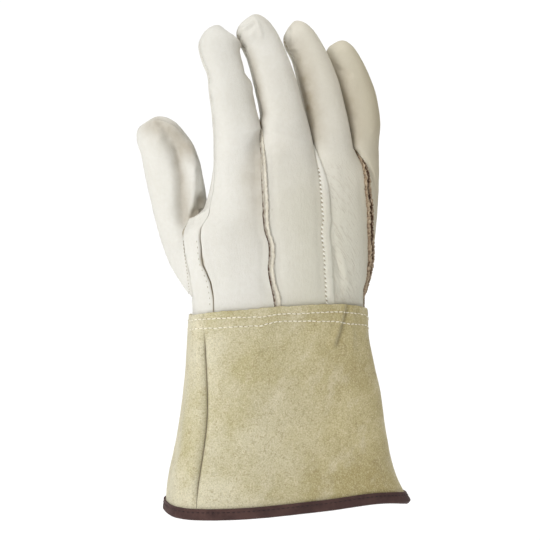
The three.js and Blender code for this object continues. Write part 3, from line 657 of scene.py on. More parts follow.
def noise(points, size, seed):
    """A smooth random field from -1 to 1 whose cells are size wide."""
    cells = 32
    lattice = np.random.default_rng(seed).uniform(-1, 1, (cells, cells, cells))
    p = points / size
    whole = np.floor(p).astype(int)
    f = smooth(p - whole)
    total = np.zeros(p.shape[:-1])
    for dx in (0, 1):
        for dy in (0, 1):
            for dz in (0, 1):
                corner = np.mod(whole + (dx, dy, dz), cells)
                share = np.abs(1 - dx - f[..., 0]) * np.abs(1 - dy - f[..., 1]) * np.abs(1 - dz - f[..., 2])
                total += share * lattice[corner[..., 0], corner[..., 1], corner[..., 2]]
    return total


def path_distance(points, path):
    """Distance from each point to a path of straight stretches."""
    best = np.full(points.shape[:-1], np.inf)
    for a, b in zip(path[:-1], path[1:]):
        along = b - a
        t = np.clip(((points - a) @ along) / (along @ along), 0, 1)
        best = np.minimum(best, np.linalg.norm(points - a - times(t, along), axis=-1))
    return best


def line_on(surface, path):
    """The points of a path on a surface."""
    return surface(*np.array(path, float).T)


def fold_relief(points, surface, name):
    total = np.zeros(points.shape[:-1])
    for fold in FOLDS.get(name, []):
        away = path_distance(points, line_on(surface, fold["path"]))
        total += fold["height"] * bump(away, fold["width"])
    return total


def soft_relief(points, seed):
    return sum(height * noise(points, size, seed + k) for k, (height, size) in enumerate(SWELLS))


def stretch(surface, v, c):
    """Millimetres across a surface that one unit of c stands for."""
    return np.linalg.norm(surface(v, c + SMALL) - surface(v, c - SMALL), axis=-1) / (2 * SMALL)


def edge_stretch(surface, v, edge):
    """The same just inside the left (0) or right (1) edge of a surface."""
    return stretch(surface, v, np.full_like(v, abs(edge - NEAR_EDGE)))


def outward(surface, v, c, low, high, flip):
    normal = normal_of(surface, v, np.clip(c, 0.004, 0.996), low, high)
    return -normal if flip else normal


def puckered(points, seed):
    """A factor by which a seam's dips vary along it."""
    return 0.75 + 0.25 * noise(points, 3.2, seed)


def wrap_edge(v, distance):
    """Rise and soil beside the seam near the thumb."""
    width = WRAP_GROOVE_WIDTH * (1 + 1.2 * bump(v - WRAP_KINK, 0.03))
    seen = smooth((WRAP_TOP - v) / 0.08)
    rise = -WRAP_GROOVE * seen * bump(distance, width) + 0.35 * seen * bump(distance - 2.2, 1.6)
    return rise, seen * mix(0.4, 1, smooth((0.47 - v) / 0.1)) * bump(distance, 0.8 * width)


def strip_edge(curled, distance, pucker, points):
    """Rise and soil beside a strip of the back, where the leather curls up or goes down to the strip."""
    frayed = 0.75 + 0.5 * noise(points, 1.6, 13)
    if curled:
        rise = CURL * pucker * bump(distance, CURL_WIDTH)
        dark = bump(distance, 0.5 + 0.45 * frayed)
    else:
        rise = -0.6 * bump(distance - 1.0, 2.4)
        dark = 0.55 * bump(distance, 0.6)
    return rise - 0.4 * bump(distance - 6, 2.5), dark * frayed


def seam_relief(i, side, v, left, right, points):
    """Rise, dirt and painted shade of a ray's leather at its two edges, given the distances to them."""
    pucker = puckered(points, 11)
    finger = smooth((v - FINGER_SEAM_FROM) / FINGER_SEAM_TALL)
    total, soil_and_shade = np.zeros_like(v), np.zeros_like(v)
    for j, distance in ((i, left), (i + 1, right)):
        groove = -GROOVE * pucker * bump(distance, GROOVE_WIDTH)
        if j == 0:
            rise, dark = wrap_edge(v, distance)
        elif j == 4:
            rise, dark = groove, 0.4 * bump(distance, 0.6)
        elif side == "back":
            rise, dark = strip_edge(i < j and j != 2, distance, pucker, points)
        else:
            rise, dark = 0 * v, 0 * v
        total += mix(rise, groove, finger)
        # painted shade in the crotches between the fingers, which widens the dark seam line there
        crotch = bump(v - CROTCH_UP, CROTCH_TALL) * (0 < j < 4)
        seam_line_and_crotch_shade = mix(0.15, 1.0, crotch) * bump(distance, 0.8 + 3.0 * crotch)
        soil_and_shade = np.maximum(soil_and_shade, mix(dark, seam_line_and_crotch_shade, finger))
        if j == i and i in (1, 2):
            threads = 0.7 + 0.3 * np.sin(2 * np.pi * points[..., 2] / 2.6)
            soil_and_shade = np.maximum(soil_and_shade, 1.1 * bump(v - 2.3, 0.45) * bump(distance, 1.8) * threads)
    return total, soil_and_shade


def handled_and_shaded(i, v, c, left, right, points):
    """Dirt and painted shade of a back panel away from its seams: painted shade between the fingers and
    towards its right side, and the tears, wear and marks of single panels.
    """
    # painted shade towards the panel's right side, which turns from the light
    soil_and_shade = PAINTED_RIGHT_SHADE[i] * smooth((c - 0.5) / 0.5) * smooth((v - 0.3) / 0.5)
    if i > 0:
        # painted shade on the finger's left side, where the finger beside it shades it
        reach, strength = PAINTED_SIDE_SHADE[i]
        shaded = bump(v - 1.4, 0.6) * smooth((v - 0.95) / 0.12) * smooth((reach - left) / (0.7 * reach))
        soil_and_shade = np.maximum(soil_and_shade, strength * shaded)
    if i == 0:
        # the torn edge near the web
        ragged = smooth(1.4 * noise(points, (0.9, 0.9, 1.8), 14) + 0.6)
        soil_and_shade = np.maximum(soil_and_shade, 0.8 * bump(v - 0.79, 0.1) * bump(right - 0.8, 1.9) * ragged)
    if i == 1:
        for up, over, size in MARKS:
            spot = np.linalg.norm(points - ray_point(i, "back", up, over), axis=-1)
            soil_and_shade = np.maximum(soil_and_shade, 0.8 * bump(spot, size))
    if i == 2:
        # the worn corner above the cuff
        ragged = smooth(noise(points, (1.0, 1.0, 2.5), 15) + 0.6)
        soil_and_shade = np.maximum(soil_and_shade, 0.45 * smooth((0.24 - v) / 0.12) * bump(left - 1.5, 4.0) * ragged)
    return soil_and_shade


def ray_skin(i, side):
    """One ray's dressed surface, as a function of (v, c) that gives points, normals, and dirt and painted
    shade.
    """
    surface = ray_plain(i, side)
    name = FINGERS[i][0] + "_" + side

    def dressed(v, c):
        v, c = np.broadcast_arrays(np.asarray(v, float), np.asarray(c, float))
        points = surface(v, c)
        normal = outward(surface, v, c, 0, 3, side == "palm")
        left = c * edge_stretch(surface, v, 0)
        right = (1 - c) * edge_stretch(surface, v, 1)
        height, soil_and_shade = seam_relief(i, side, v, left, right, points)
        height = height + fold_relief(points, surface, name)
        quiet = smooth((points[..., 2] - LAP_TOP) / LAP_BLEND)
        height = (height + soft_relief(points, 3)) * quiet
        if i == 0:
            towards = unit(ray_point(0, "back", v, 0 * v) - ray_point(0, "back", v, 0 * v + 0.02))
            pull = follow(v, WRAP_PULL) * smooth(1 - left / WRAP_REACH)
            points = points + times(pull, towards)
            bent = smooth((v - TIP_FROM) / TIP_TALL) * mix(1.2, 0.2, c)
            points = points + times(bent, vector(*TIP_SHIFT))
        if side == "back":
            soil_and_shade = np.maximum(soil_and_shade, handled_and_shaded(i, v, c, left, right, points))
        return points + times(height, normal), normal, soil_and_shade

    return dressed


def thumb_skin(side):
    surface = thumb_plain(side)

    def dressed(t, c):
        t, c = np.broadcast_arrays(np.asarray(t, float), np.asarray(c, float))
        points = surface(t, c)
        normal = outward(surface, t, c, 0, 2, side == "palm")
        edge = np.minimum(c, 1 - c) * edge_stretch(surface, t, 0)
        root = t * THUMB_LENGTH * 0.8
        pucker = puckered(points, 12)
        hollow = bump(180 * c - 150, 40) * (side == "back")
        height = -GROOVE * pucker * bump(edge, GROOVE_WIDTH) - mix(0.25, 1.2, hollow) * bump(root, 1.4)
        height = height + fold_relief(points, thumb_point, "thumb") + soft_relief(points, 3)
        # dark seam lines at the thumb's edges and root; in the hollow towards the index finger the root's
        # line widens into painted shade
        soil_and_shade = np.maximum(0.3 * bump(edge, 0.8), mix(0.35, 1.0, hollow) * bump(root, 0.8 + 2 * hollow))
        # painted shade in the thumb's hollow and valley and on its upper right, which turns from the light
        for path, reach, strength in PAINTED_THUMB_SHADE:
            near = path_distance(points, line_on(thumb_point, path))
            soil_and_shade = np.maximum(soil_and_shade, strength * bump(near, reach))
        return points + times(height, normal), normal, soil_and_shade

    return dressed


def below_rows(up):
    """1 where the cuff's seams lie open, and 0 at its top, where the rows of stitches hold them flat."""
    return smooth((0.93 - up) / 0.12)


def cuff_skin(side):
    surface = cuff_plain(side)

    def dressed(up, c):
        up, c = np.broadcast_arrays(np.asarray(up, float), np.asarray(c, float))
        points = surface(up, c)
        normal = outward(surface, up, c, 0, 1, side == "palm")
        left = c * edge_stretch(surface, up, 0)
        right = (1 - c) * edge_stretch(surface, up, 1)
        open_seam = below_rows(up) * smooth((up - 0.03) / 0.14)
        roll = 1.3 if side == "palm" else 0.0
        height = -mix(0.3, 1.3, open_seam) * (bump(left, 1.7) + bump(right, 1.7))
        height = height + roll * open_seam * bump(left - 5, 4)
        height = height + fold_relief(points, cuff_point, "cuff")
        height = height + 0.45 * noise(points, 26, 5) + 0.12 * noise(points, 7, 6)
        height = height * smooth((up - 0.02) / 0.1)
        rough_edge = bump(1 - up, 0.02) * noise(points, 2.6, 8)
        points = points + times(0.5 * rough_edge, vector(0, 0, 1) + 0 * normal)
        crease = path_distance(points, line_on(cuff_point, CUFF_CREASE))
        soil_and_shade = bump(np.minimum(left, right), 0.8) * mix(0.1, 0.9, open_seam)
        # painted shade in the crease below the cuff's top edge
        soil_and_shade = np.maximum(soil_and_shade, 0.4 * bump(crease, 1.4))
        return points + times(height, normal), normal, soil_and_shade

    return dressed


# Meshes: how near points are welded, how much darker the inside is, and the least angles of sharp edges.
WELD = 0.004
INSIDE_DARKENING = 0.3
WALL_SHARP = 55
THREAD_SHARP = 60
STRIP_SHARP = 70
BINDING_SHARP = 80


def grid(dressed, rows, columns, trim=None, surface=None):
    """A sheet of points over (v, c). trim(v) gives the widths in millimetres taken off its two edges."""
    v = np.asarray(rows, float)[:, None]
    c = np.asarray(columns, float)[None, :]
    if trim is not None:
        left, right = trim(v)
        first = left / edge_stretch(surface, v, 0)
        last = 1 - right / edge_stretch(surface, v, 1)
        c = mix(first, last, c)
    at, normal, soil_and_shade = dressed(v, c)
    return {"at": at, "normal": normal, "soil_and_shade": soil_and_shade}


def spread(count, tight):
    """Columns from 0 to 1 that crowd towards both edges."""
    t = np.linspace(0, 1, count + 1)
    return mix(t, 0.5 - 0.5 * np.cos(np.pi * t), tight)


def new_object(name, points, faces, material, sharp, layers=None):
    mesh = bpy.data.meshes.new(name)
    mesh.from_pydata((points * MM).tolist(), [], faces)
    mesh.polygons.foreach_set("use_smooth", np.ones(len(mesh.polygons), bool))
    mesh.set_sharp_from_angle(angle=math.radians(sharp))
    for layer, values in (layers or {}).items():
        data = mesh.attributes.new(layer, "FLOAT", "POINT").data
        data.foreach_set("value", np.asarray(values, np.float32))
    mesh.materials.append(material)
    mesh.validate()
    piece = bpy.data.objects.new(name, mesh)
    bpy.context.scene.collection.objects.link(piece)
    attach(piece, "root")
    return piece


def welded(sheets):
    """Points, normals, dirt and painted shade, and quads of sheets that are joined where their points meet.
    """
    points, normals, soil_and_shade, quads, count = [], [], [], [], 0
    for sheet in sheets:
        rows, columns = sheet["soil_and_shade"].shape
        ids = count + np.arange(rows * columns).reshape(rows, columns)
        quad = np.stack([ids[:-1, :-1], ids[:-1, 1:], ids[1:, 1:], ids[1:, :-1]], -1)
        quads.append(quad[sheet["keep"]] if "keep" in sheet else quad.reshape(-1, 4))
        points.append(sheet["at"].reshape(-1, 3))
        normals.append(sheet["normal"].reshape(-1, 3))
        soil_and_shade.append(sheet["soil_and_shade"].ravel())
        count += rows * columns
    points, normals, soil_and_shade, quads = (np.concatenate(x) for x in (points, normals, soil_and_shade, quads))
    keys = np.round(points / WELD).astype(np.int64)
    _, first, same = np.unique(keys, axis=0, return_index=True, return_inverse=True)
    same = same.ravel()
    merged = np.zeros((len(first), 3))
    np.add.at(merged, same, normals)
    return points[first], unit(merged), soil_and_shade[first], same[quads]


def wall(name, sheets, thickness, material, flip=False, wrinkled=None):
    """A closed wall: the sheets, the same moved in, and the edges between the two."""
    outer, normals, soil_and_shade, quads = welded(sheets)
    if flip:
        quads = quads[:, ::-1]
    faces = np.concatenate([quads[:, [0, 1, 2]], quads[:, [0, 2, 3]]])
    a, b, c = faces.T
    used, faces = np.unique(faces[(a != b) & (b != c) & (c != a)], return_inverse=True)
    faces = faces.reshape(-1, 3)
    outer, soil_and_shade = outer[used], soil_and_shade[used]
    inner = outer - thickness * normals[used]
    n = len(outer)
    sides = np.concatenate([faces[:, [0, 1]], faces[:, [1, 2]], faces[:, [2, 0]]])
    loose = ~np.isin(sides[:, 0] * n + sides[:, 1], sides[:, 1] * n + sides[:, 0])
    p, q = sides[loose].T
    rim = np.concatenate([np.stack([q, p, p + n], -1), np.stack([q, p + n, q + n], -1)])
    faces = np.concatenate([faces, faces[:, ::-1] + n, rim]).tolist()
    layers = {"soil_and_shade": np.concatenate([soil_and_shade, np.full(n, INSIDE_DARKENING)])}
    if wrinkled is not None:
        near = smooth(1.4 - path_distance(outer, wrinkled) / WRINKLED_REACH)
        layers["wrinkled"] = np.concatenate([near, np.zeros(n)])
    return new_object(name, np.concatenate([outer, inner]), faces, material, WALL_SHARP, layers)


def tube(name, rings, material, sharp, closed=False, layers=None):
    """A solid swept through rings of points: rings has the shape (count, around, 3)."""
    count, around, _ = rings.shape
    ids = np.arange(count * around).reshape(count, around)
    if closed:
        ids = np.concatenate([ids, ids[:1]])
    turned = np.roll(ids, -1, axis=1)
    faces = np.stack([ids[:-1], turned[:-1], turned[1:], ids[1:]], -1).reshape(-1, 4).tolist()
    if not closed:
        faces += [ids[0][::-1].tolist(), ids[-1].tolist()]
    return new_object(name, rings.reshape(-1, 3), faces, material, sharp, layers)


# Materials
class Shader:
    """The nodes of a material, on the object's own coordinates, or of a world."""

    def __init__(self, owner, place="Object"):
        self.owner = owner
        self.owner.use_nodes = True
        self.tree = self.owner.node_tree
        self.tree.nodes.clear()
        self.place = self.node("ShaderNodeTexCoord").outputs[place]

    def node(self, kind, inputs=None, **settings):
        made = self.tree.nodes.new(kind)
        for name, value in settings.items():
            setattr(made, name, value)
        for key, value in (inputs or {}).items():
            if isinstance(value, bpy.types.NodeSocket):
                self.tree.links.new(value, made.inputs[key])
            else:
                made.inputs[key].default_value = value
        return made

    def noise(self, size, detail=3, roughness=0.55, place=None):
        """Noise whose blobs are about size millimetres wide."""
        inputs = {"Vector": place or self.place, "Scale": 0.5 / (size * MM)}
        inputs.update({"Detail": detail, "Roughness": roughness})
        return self.node("ShaderNodeTexNoise", inputs).outputs["Fac"]

    def cells(self, size):
        inputs = {"Vector": self.place, "Scale": 1 / (size * MM)}
        return self.node("ShaderNodeTexVoronoi", inputs, feature="F1").outputs["Distance"]

    def wave(self, scale, distortion, detail=2):
        inputs = {"Vector": self.place, "Scale": scale, "Distortion": distortion, "Detail": detail}
        return self.node("ShaderNodeTexWave", inputs).outputs["Fac"]

    def stretched(self, turn, scale):
        """Coordinates whose pattern is turned and drawn out by scale along its own axes."""
        inputs = {"Vector": self.place, "Rotation": turn, "Scale": scale}
        return self.node("ShaderNodeMapping", inputs, vector_type="TEXTURE").outputs["Vector"]

    def attribute(self, name):
        return self.node("ShaderNodeAttribute", attribute_name=name).outputs["Fac"]

    def span(self, value, low, high, to_low=0.0, to_high=1.0):
        inputs = {"Value": value, "From Min": low, "From Max": high, "To Min": to_low, "To Max": to_high}
        return self.node("ShaderNodeMapRange", inputs).outputs["Result"]

    def maths(self, operation, a, b):
        return self.node("ShaderNodeMath", {0: a, 1: b}, operation=operation).outputs[0]

    def times(self, a, b):
        return self.maths("MULTIPLY", a, b)

    def blend(self, factor, a, b):
        return self.node("ShaderNodeMix", {0: factor, 6: a, 7: b}, data_type="RGBA").outputs[2]

    def bump(self, height, strength, distance, under=None):
        inputs = {"Height": height, "Strength": strength, "Distance": distance * MM}
        if under is not None:
            inputs["Normal"] = under
        return self.node("ShaderNodeBump", inputs).outputs["Normal"]

    def finish(self, colour, roughness, normal, **sockets):
        inputs = {"Base Color": colour, "Roughness": roughness, "Normal": normal}
        inputs.update({name.replace("_", " "): value for name, value in sockets.items()})
        shader = self.node("ShaderNodeBsdfPrincipled", inputs)
        self.node("ShaderNodeOutputMaterial", {"Surface": shader.outputs[0]})
        return self.owner


def rgb(red, green, blue):
    """A colour given as 0 to 255 in a picture, as the linear colour that a shader takes."""
    part = lambda x: x / 12.92 if x <= 0.04045 else ((x + 0.055) / 1.055) ** 2.4
    return (part(red / 255), part(green / 255), part(blue / 255), 1.0)


def new_shader(name):
    return Shader(bpy.data.materials.new(name))


def grain_leather(name, light, shade):
    s = new_shader(name)
    place = s.node("ShaderNodeSeparateXYZ", {0: s.place})
    x, z = place.outputs["X"], place.outputs["Z"]
    tone = s.blend(s.span(s.noise(30), 0.38, 0.66), light, shade)
    # painted light and shade: colder on the thumb side, which faces the light, warmer low on the back of the
    # hand, and warmer and darker towards the little finger, which turns from the light
    tone = s.blend(s.span(x, 0.0, -0.05, 0, 0.6), tone, rgb(210, 209, 203))
    low_right = s.times(s.span(x, -0.03, 0.005), s.span(z, 0.25, 0.2))
    tone = s.blend(s.times(low_right, 0.8), tone, rgb(204, 201, 185))
    tone = s.blend(s.span(s.maths("ADD", x, s.times(z, 0.35)), 0.1, 0.165), tone, rgb(198, 190, 168))
    tone = s.blend(s.span(x, 0.048, 0.07, 0, 0.8), tone, rgb(172, 161, 134))
    # specks, soil and painted shade, and the ring finger's wrinkles
    tone = s.blend(s.times(s.span(s.noise(1.3, 2), 0.3, 0.7), 0.1), tone, rgb(176, 166, 140))
    soil_and_shade = s.times(s.attribute("soil_and_shade"), s.span(s.noise(4), 0.25, 0.7, 0.55, 1.0))
    tone = s.blend(soil_and_shade, tone, rgb(122, 100, 56))
    slanted = s.noise(0.8, 2, 0.5, s.stretched((0, math.radians(-32), 0), (0.7, 1.5, 5)))
    wrinkle = s.times(s.span(slanted, 0.52, 0.64), s.attribute("wrinkled"))
    tone = s.blend(s.times(wrinkle, 0.16), tone, rgb(150, 128, 104))
    # relief of the grain, from fine to broad
    lines = s.noise(1.3, 4, 0.65, s.stretched((0, 0.06, 0), (0.8, 1.0, 2.0)))
    fine = s.bump(s.cells(0.8), 0.3, 0.15)
    creased = s.bump(s.span(lines, 0.4, 0.62), 0.3, 0.25, fine)
    hatched = s.bump(s.times(wrinkle, -1.0), 0.5, 0.3, creased)
    swelled = s.bump(s.noise(6, 3), 0.35, 0.5, hatched)
    rough = s.span(s.noise(9), 0.3, 0.7, 0.5, 0.66)
    return s.finish(tone, rough, swelled, Specular_IOR_Level=0.35)


def raw_leather(name, light, dark):
    s = new_shader(name)
    fibre = s.noise(0.8, 4, 0.7, s.stretched((0, 0, 0), (0.8, 0.8, 1.8)))
    tone = s.blend(s.span(fibre, 0.34, 0.66), dark, light)
    # dark cracks and flecks, and painted shade down the flat strip's right flank
    tone = s.blend(s.attribute("soil_and_shade"), tone, rgb(78, 56, 42))
    return s.finish(tone, 0.92, s.bump(fibre, 0.9, 0.5), Specular_IOR_Level=0.2)


def suede_leather(name):
    s = new_shader(name)
    # painted light and shade: paler on the thumb side, which faces the light, and darker and warmer towards
    # the little finger's side
    side = s.span(s.node("ShaderNodeSeparateXYZ", {0: s.place}).outputs["X"], -0.06, 0.05)
    lit_side_tone = s.blend(s.span(s.noise(26, 4, 0.6), 0.4, 0.6), rgb(200, 194, 168), rgb(176, 168, 130))
    shaded_side_tone = s.blend(s.span(s.noise(20, 4, 0.6), 0.4, 0.6), rgb(187, 175, 131), rgb(165, 151, 102))
    tone = s.blend(side, lit_side_tone, shaded_side_tone)
    # pale patches, dark patches and the nap
    patch = s.span(s.noise(9, 4, 0.65, s.stretched((0, 0.5, 0), (0.7, 0.7, 1.4))), 0.52, 0.7)
    tone = s.blend(s.times(patch, 0.45), tone, rgb(212, 204, 178))
    tone = s.blend(s.times(s.span(s.noise(2.0, 4, 0.7), 0.52, 0.7), 0.38), tone, rgb(146, 130, 90))
    nap = s.noise(0.5, 3, 0.75)
    tone = s.blend(s.times(s.span(nap, 0.5, 0.7), 0.42), tone, rgb(124, 108, 72))
    tone = s.blend(s.times(s.span(nap, 0.5, 0.32), 0.45), tone, rgb(226, 216, 186))
    # dark seams, and painted shade in the crease below the top edge
    tone = s.blend(s.times(s.attribute("soil_and_shade"), 0.75), tone, rgb(92, 78, 50))
    rough = s.bump(nap, 0.85, 0.35)
    lumps = s.bump(s.noise(2.6, 4, 0.6), 0.6, 0.6, rough)
    return s.finish(tone, 0.95, lumps, Specular_IOR_Level=0.12, Sheen_Weight=0.25, Sheen_Roughness=0.5)


def woven_tape(name):
    s = new_shader(name)
    rib = s.bump(s.wave(330, 1.2), 0.35, 0.2)
    tone = s.blend(s.span(s.noise(5, 3), 0.35, 0.65), rgb(78, 56, 52), rgb(60, 42, 40))
    tone = s.blend(s.times(s.noise(0.8, 3), 0.2), tone, rgb(98, 76, 70))
    return s.finish(tone, 0.85, rib, Specular_IOR_Level=0.2, Sheen_Weight=0.05)


def thread(name, colour, dark):
    s = new_shader(name)
    twist = s.bump(s.wave(900, 2.0), 0.5, 0.1)
    tone = s.blend(s.span(s.noise(1.5), 0.3, 0.7), colour, dark)
    return s.finish(tone, 0.7, twist, Specular_IOR_Level=0.3)


CREAM = grain_leather("cream_leather", rgb(218, 215, 206), rgb(207, 203, 191))
WELT_LEATHER = grain_leather("welt_leather", rgb(238, 236, 230), rgb(228, 226, 217))
PALE_RAW = raw_leather("pale_cut_edge", rgb(222, 217, 203), rgb(204, 196, 176))
RAW = raw_leather("cut_edge", rgb(214, 197, 170), rgb(150, 128, 100))
SUEDE_SKIN = suede_leather("suede")
TAPE_CLOTH = woven_tape("binding_tape")
WHITE_THREAD = thread("white_thread", rgb(246, 245, 240), rgb(226, 222, 208))
CREAM_THREAD = thread("cream_thread", rgb(240, 236, 220), rgb(218, 210, 186))
TAN_THREAD = thread("tan_thread", rgb(196, 184, 158), rgb(150, 134, 106))
SHADED_THREAD = thread("shaded_thread", rgb(170, 160, 138), rgb(140, 128, 104))
DARK_THREAD = thread("dark_thread", rgb(48, 32, 32), rgb(30, 20, 22))
# painted shade: the dark colour of the needle holes
HOLE_SHADE = thread("needle_hole_shade", rgb(96, 82, 54), rgb(70, 58, 38))


# Panels of the hand and the cuff
def stations(*counts):
    """Places from 0 up, with a count of steps for each unit."""
    return np.concatenate([[0.0]] + [k + np.linspace(0, 1, count + 1)[1:] for k, count in enumerate(counts)])


def short_of(rows, cut):
    """The same rows with the last one lower."""
    return np.append(rows[:-1], rows[-1] - cut)


HAND_ROWS = stations(110, 70, 20)
THUMB_ROWS = stations(100, 24)
CUFF_UP = stations(120)
BACK_COLUMNS = spread(44, 0.7)
WRAP_COLUMNS = spread(84, 0.45)
PALM_COLUMNS = spread(38, 0.45)
THUMB_COLUMNS = spread(64, 0.5)
CUFF_COLUMNS = spread(170, 0.3)
RAY_SKINS = {(i, side): ray_skin(i, side) for i in range(4) for side in ("back", "palm")}

# More room between the back panels at the webs, and how near the thumb's opening points are drawn to its rim.
WEB_ROOM = 0.6
RIM_REACH = 0.045


def welt_slot(v):
    narrow = mix(1, 0.3, smooth((v - PART_FROM) / (1 - PART_FROM)))
    return np.where(v < 1, WELT_WIDTH / 2 * narrow, 0)


def back_trim(i):
    def trim(v):
        room = GAP + WEB_ROOM * bump(v - 1, 0.07)
        return [room + welt_slot(v) * (0 < j < 4) for j in (i, i + 1)]

    return trim


def build_backs():
    rows = short_of(HAND_ROWS, GAP / (TIP_ROUND * RAY_DEPTH))
    for i, (name, _, _) in enumerate(FINGERS):
        plain = ray_plain(i, "back")
        sheet = grid(RAY_SKINS[i, "back"], rows, BACK_COLUMNS, back_trim(i), plain)
        wrinkled = line_on(plain, WRINKLED_PATH) if name == "ring" else None
        piece = wall(name + "_back_skin", [sheet], LEATHER, CREAM, wrinkled=wrinkled)
        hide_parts(name + "_back")


def opened_sheet():
    """The palm panel's sheet with the thumb's opening, whose nearest points are drawn to the rim."""
    hole = THUMB_HOLE
    v, c = np.meshgrid(HAND_ROWS, WRAP_COLUMNS, indexing="ij")
    down = (hole["up"] - v) / hole["tall"]
    over = (hole["across"] + hole["skew"] * down - c) / hole["wide"]
    share = (np.abs(down) ** hole["square"] + np.abs(over) ** hole["square"]) ** (1 / hole["square"])
    near = np.abs(share - 1) < RIM_REACH
    pull = 1 / np.maximum(share, 0.01)
    v = np.where(near, hole["up"] - down * pull * hole["tall"], v)
    c = np.where(near, hole["across"] + hole["skew"] * down * pull - over * pull * hole["wide"], c)
    at, normal, soil_and_shade = RAY_SKINS[0, "palm"](v, c)
    rim = (share - 1) * hole["tall"] * PALM_LENGTH
    rise = 0.35 * bump(rim - 2.4, 2.0) * (share > 0.9) - 0.3 * bump(rim, 0.9)
    open_here = (share < 1) & ~near
    cut = open_here[:-1, :-1] | open_here[1:, :-1] | open_here[:-1, 1:] | open_here[1:, 1:]
    soil_and_shade = np.maximum(soil_and_shade, 0.4 * bump(rim, 0.5))
    return {"at": at + times(rise, normal), "normal": normal, "soil_and_shade": soil_and_shade, "keep": ~cut}


def build_palm():
    sheets = [opened_sheet()]
    sheets += [grid(RAY_SKINS[i, "palm"], HAND_ROWS, PALM_COLUMNS) for i in (1, 2, 3)]
    piece = wall("palm_skin", sheets, LEATHER, CREAM, flip=True)
    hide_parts("palm_panel")


def build_thumb():
    short = short_of(THUMB_ROWS, GAP / (THUMB_ROUND * THUMB_DEPTH))
    halves = (("back", "thumb_back", short, lambda t: (GAP, GAP)), ("palm", "thumb_front", THUMB_ROWS, None))
    for side, node, rows, trim in halves:
        sheet = grid(thumb_skin(side), rows, THUMB_COLUMNS, trim, thumb_plain(side))
        piece = wall(node + "_skin", [sheet], LEATHER, CREAM, flip=side == "palm")
        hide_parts(node)


def cuff_trim(up):
    room = GAP * mix(0.15, 1, below_rows(up))
    return room, room


def build_cuff():
    for side, node, trim in (("back", "cuff_back", cuff_trim), ("palm", "cuff_palm", None)):
        sheet = grid(cuff_skin(side), CUFF_UP, CUFF_COLUMNS, trim, cuff_plain(side))
        piece = wall(node + "_skin", [sheet], SUEDE, SUEDE_SKIN, flip=side == "palm")
        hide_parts(node)


build_backs()
build_palm()
build_thumb()
build_cuff()


# Seam strips on the back: how high they reach, and how many rings they are swept through.
STRIP_TOP = 0.995
STRIP_RINGS = 420


def seam_frames(j):
    """Heights, middle, across and outward directions along seam j, from the cuff to just below the web."""
    v = np.linspace(0, STRIP_TOP, STRIP_RINGS)
    edges = []
    for i, edge in ((j - 1, 1), (j, 0)):
        share = (1.1 * GAP + welt_slot(v)) / edge_stretch(ray_plain(i, "back"), v, edge)
        edges.append(RAY_SKINS[i, "back"](v, np.abs(edge - share))[0])
    left, right = edges
    middle = (left + right) / 2
    across = unit(right - left)
    up = unit(np.gradient(middle, axis=0))
    return v, middle, across, unit(np.cross(across, up))


def seam_strip(name, j, profile, material, node):
    """profile(v, z) gives across and outward places, and dirt and painted shade, with a row for each height.
    """
    v, middle, across, out = seam_frames(j)
    x, y, soil_and_shade = profile(v[:, None], middle[:, 2:])
    free = smooth((middle[:, 2:] - LAP_TOP) / 6)
    y = np.where(y > 0, y * mix(0.3, 1, free), y)
    rings = middle[:, None] + times(x, across[:, None]) + times(y, out[:, None])
    piece = tube(name, rings, material, STRIP_SHARP, layers={"soil_and_shade": soil_and_shade.ravel()})
    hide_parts(node)


def wander(z, size, seed):
    return noise(vector(seed * 3.3, seed * 1.7, z), size, seed)


def roughness(place, z, scale, lane, size, seed):
    """A random field over a strip's profile and height."""
    return noise(vector(place * scale, lane, z), size, seed)


# A cut strip that lies in the seam below the left panel's edge and above the right one's: its profile as
# shares of its half width and rises in millimetres, and its half width and its left edge's soil at heights v.
FLAT_PROFILE = table("place rise", [
    (-1, -1.2),
    (-1, -0.5),
    (-0.9, 0.1),
    (-0.6, 0.5),
    (-0.2, 0.25),
    (0.2, 0.75),
    (0.6, 1.05),
    (0.9, 1.1),
    (1, 0.9),
    (1.02, 0.5),
    (0.96, 0.05),
    (0.6, -1.4),
    (-0.7, -1.5),
])
FLAT_WIDTHS = ((0, 3.1), (0.1, 3.1), (0.25, 2.2), (0.5, 1.95), (0.8, 1.8), (0.93, 1.5), (1, 0.9))
FLAT_SOIL = ((0, 1), (0.3, 1), (0.6, 0.8), (0.8, 0.35), (0.95, 0.7))


def flat_strip(v, z):
    place, rise = FLAT_PROFILE["place"][None], FLAT_PROFILE["rise"][None]
    wide = follow(v, FLAT_WIDTHS) + 0.22 * wander(z, 3, 21)
    ragged = 0.26 * roughness(place, z, 9, 40, 1.0, 22) * (rise > 0)
    tall = 1 + 0.3 * wander(z, 9, 23)
    frayed = 0.8 + 0.5 * roughness(place, z, 5, 44, 1.3, 24)
    # a dark frayed left edge, a thin line down the middle, and painted shade down the strip's right flank
    soil_and_shade = 1.5 * follow(v, FLAT_SOIL) * bump(place + 0.84, 0.28)
    soil_and_shade = soil_and_shade + 0.4 * bump(place + 0.2, 0.13) + 0.7 * bump(place - 1.04, 0.16)
    return place * wide + ragged, rise * tall + ragged, frayed * soil_and_shade


# A folded strip of leather that stands in the seam, round on top and wider than the seam.
WELT_RISE = 1.7
WELT_HALF = 3.3
WELT_FOOT = ((0.75, -0.5), (0.45, -1.4), (-0.45, -1.4), (-0.75, -0.5))


def welt_rise(x, wide):
    """Height of the folded welt's top at a place across it."""
    return WELT_RISE * np.clip(1 - np.abs(x / wide) ** 2.6, 0, 1) ** 0.6


def welt_half(v, z):
    close = mix(1, 0.34, smooth((v - 0.74) / 0.25))
    return (WELT_HALF + 0.15 * wander(z, 8, 31)) * close


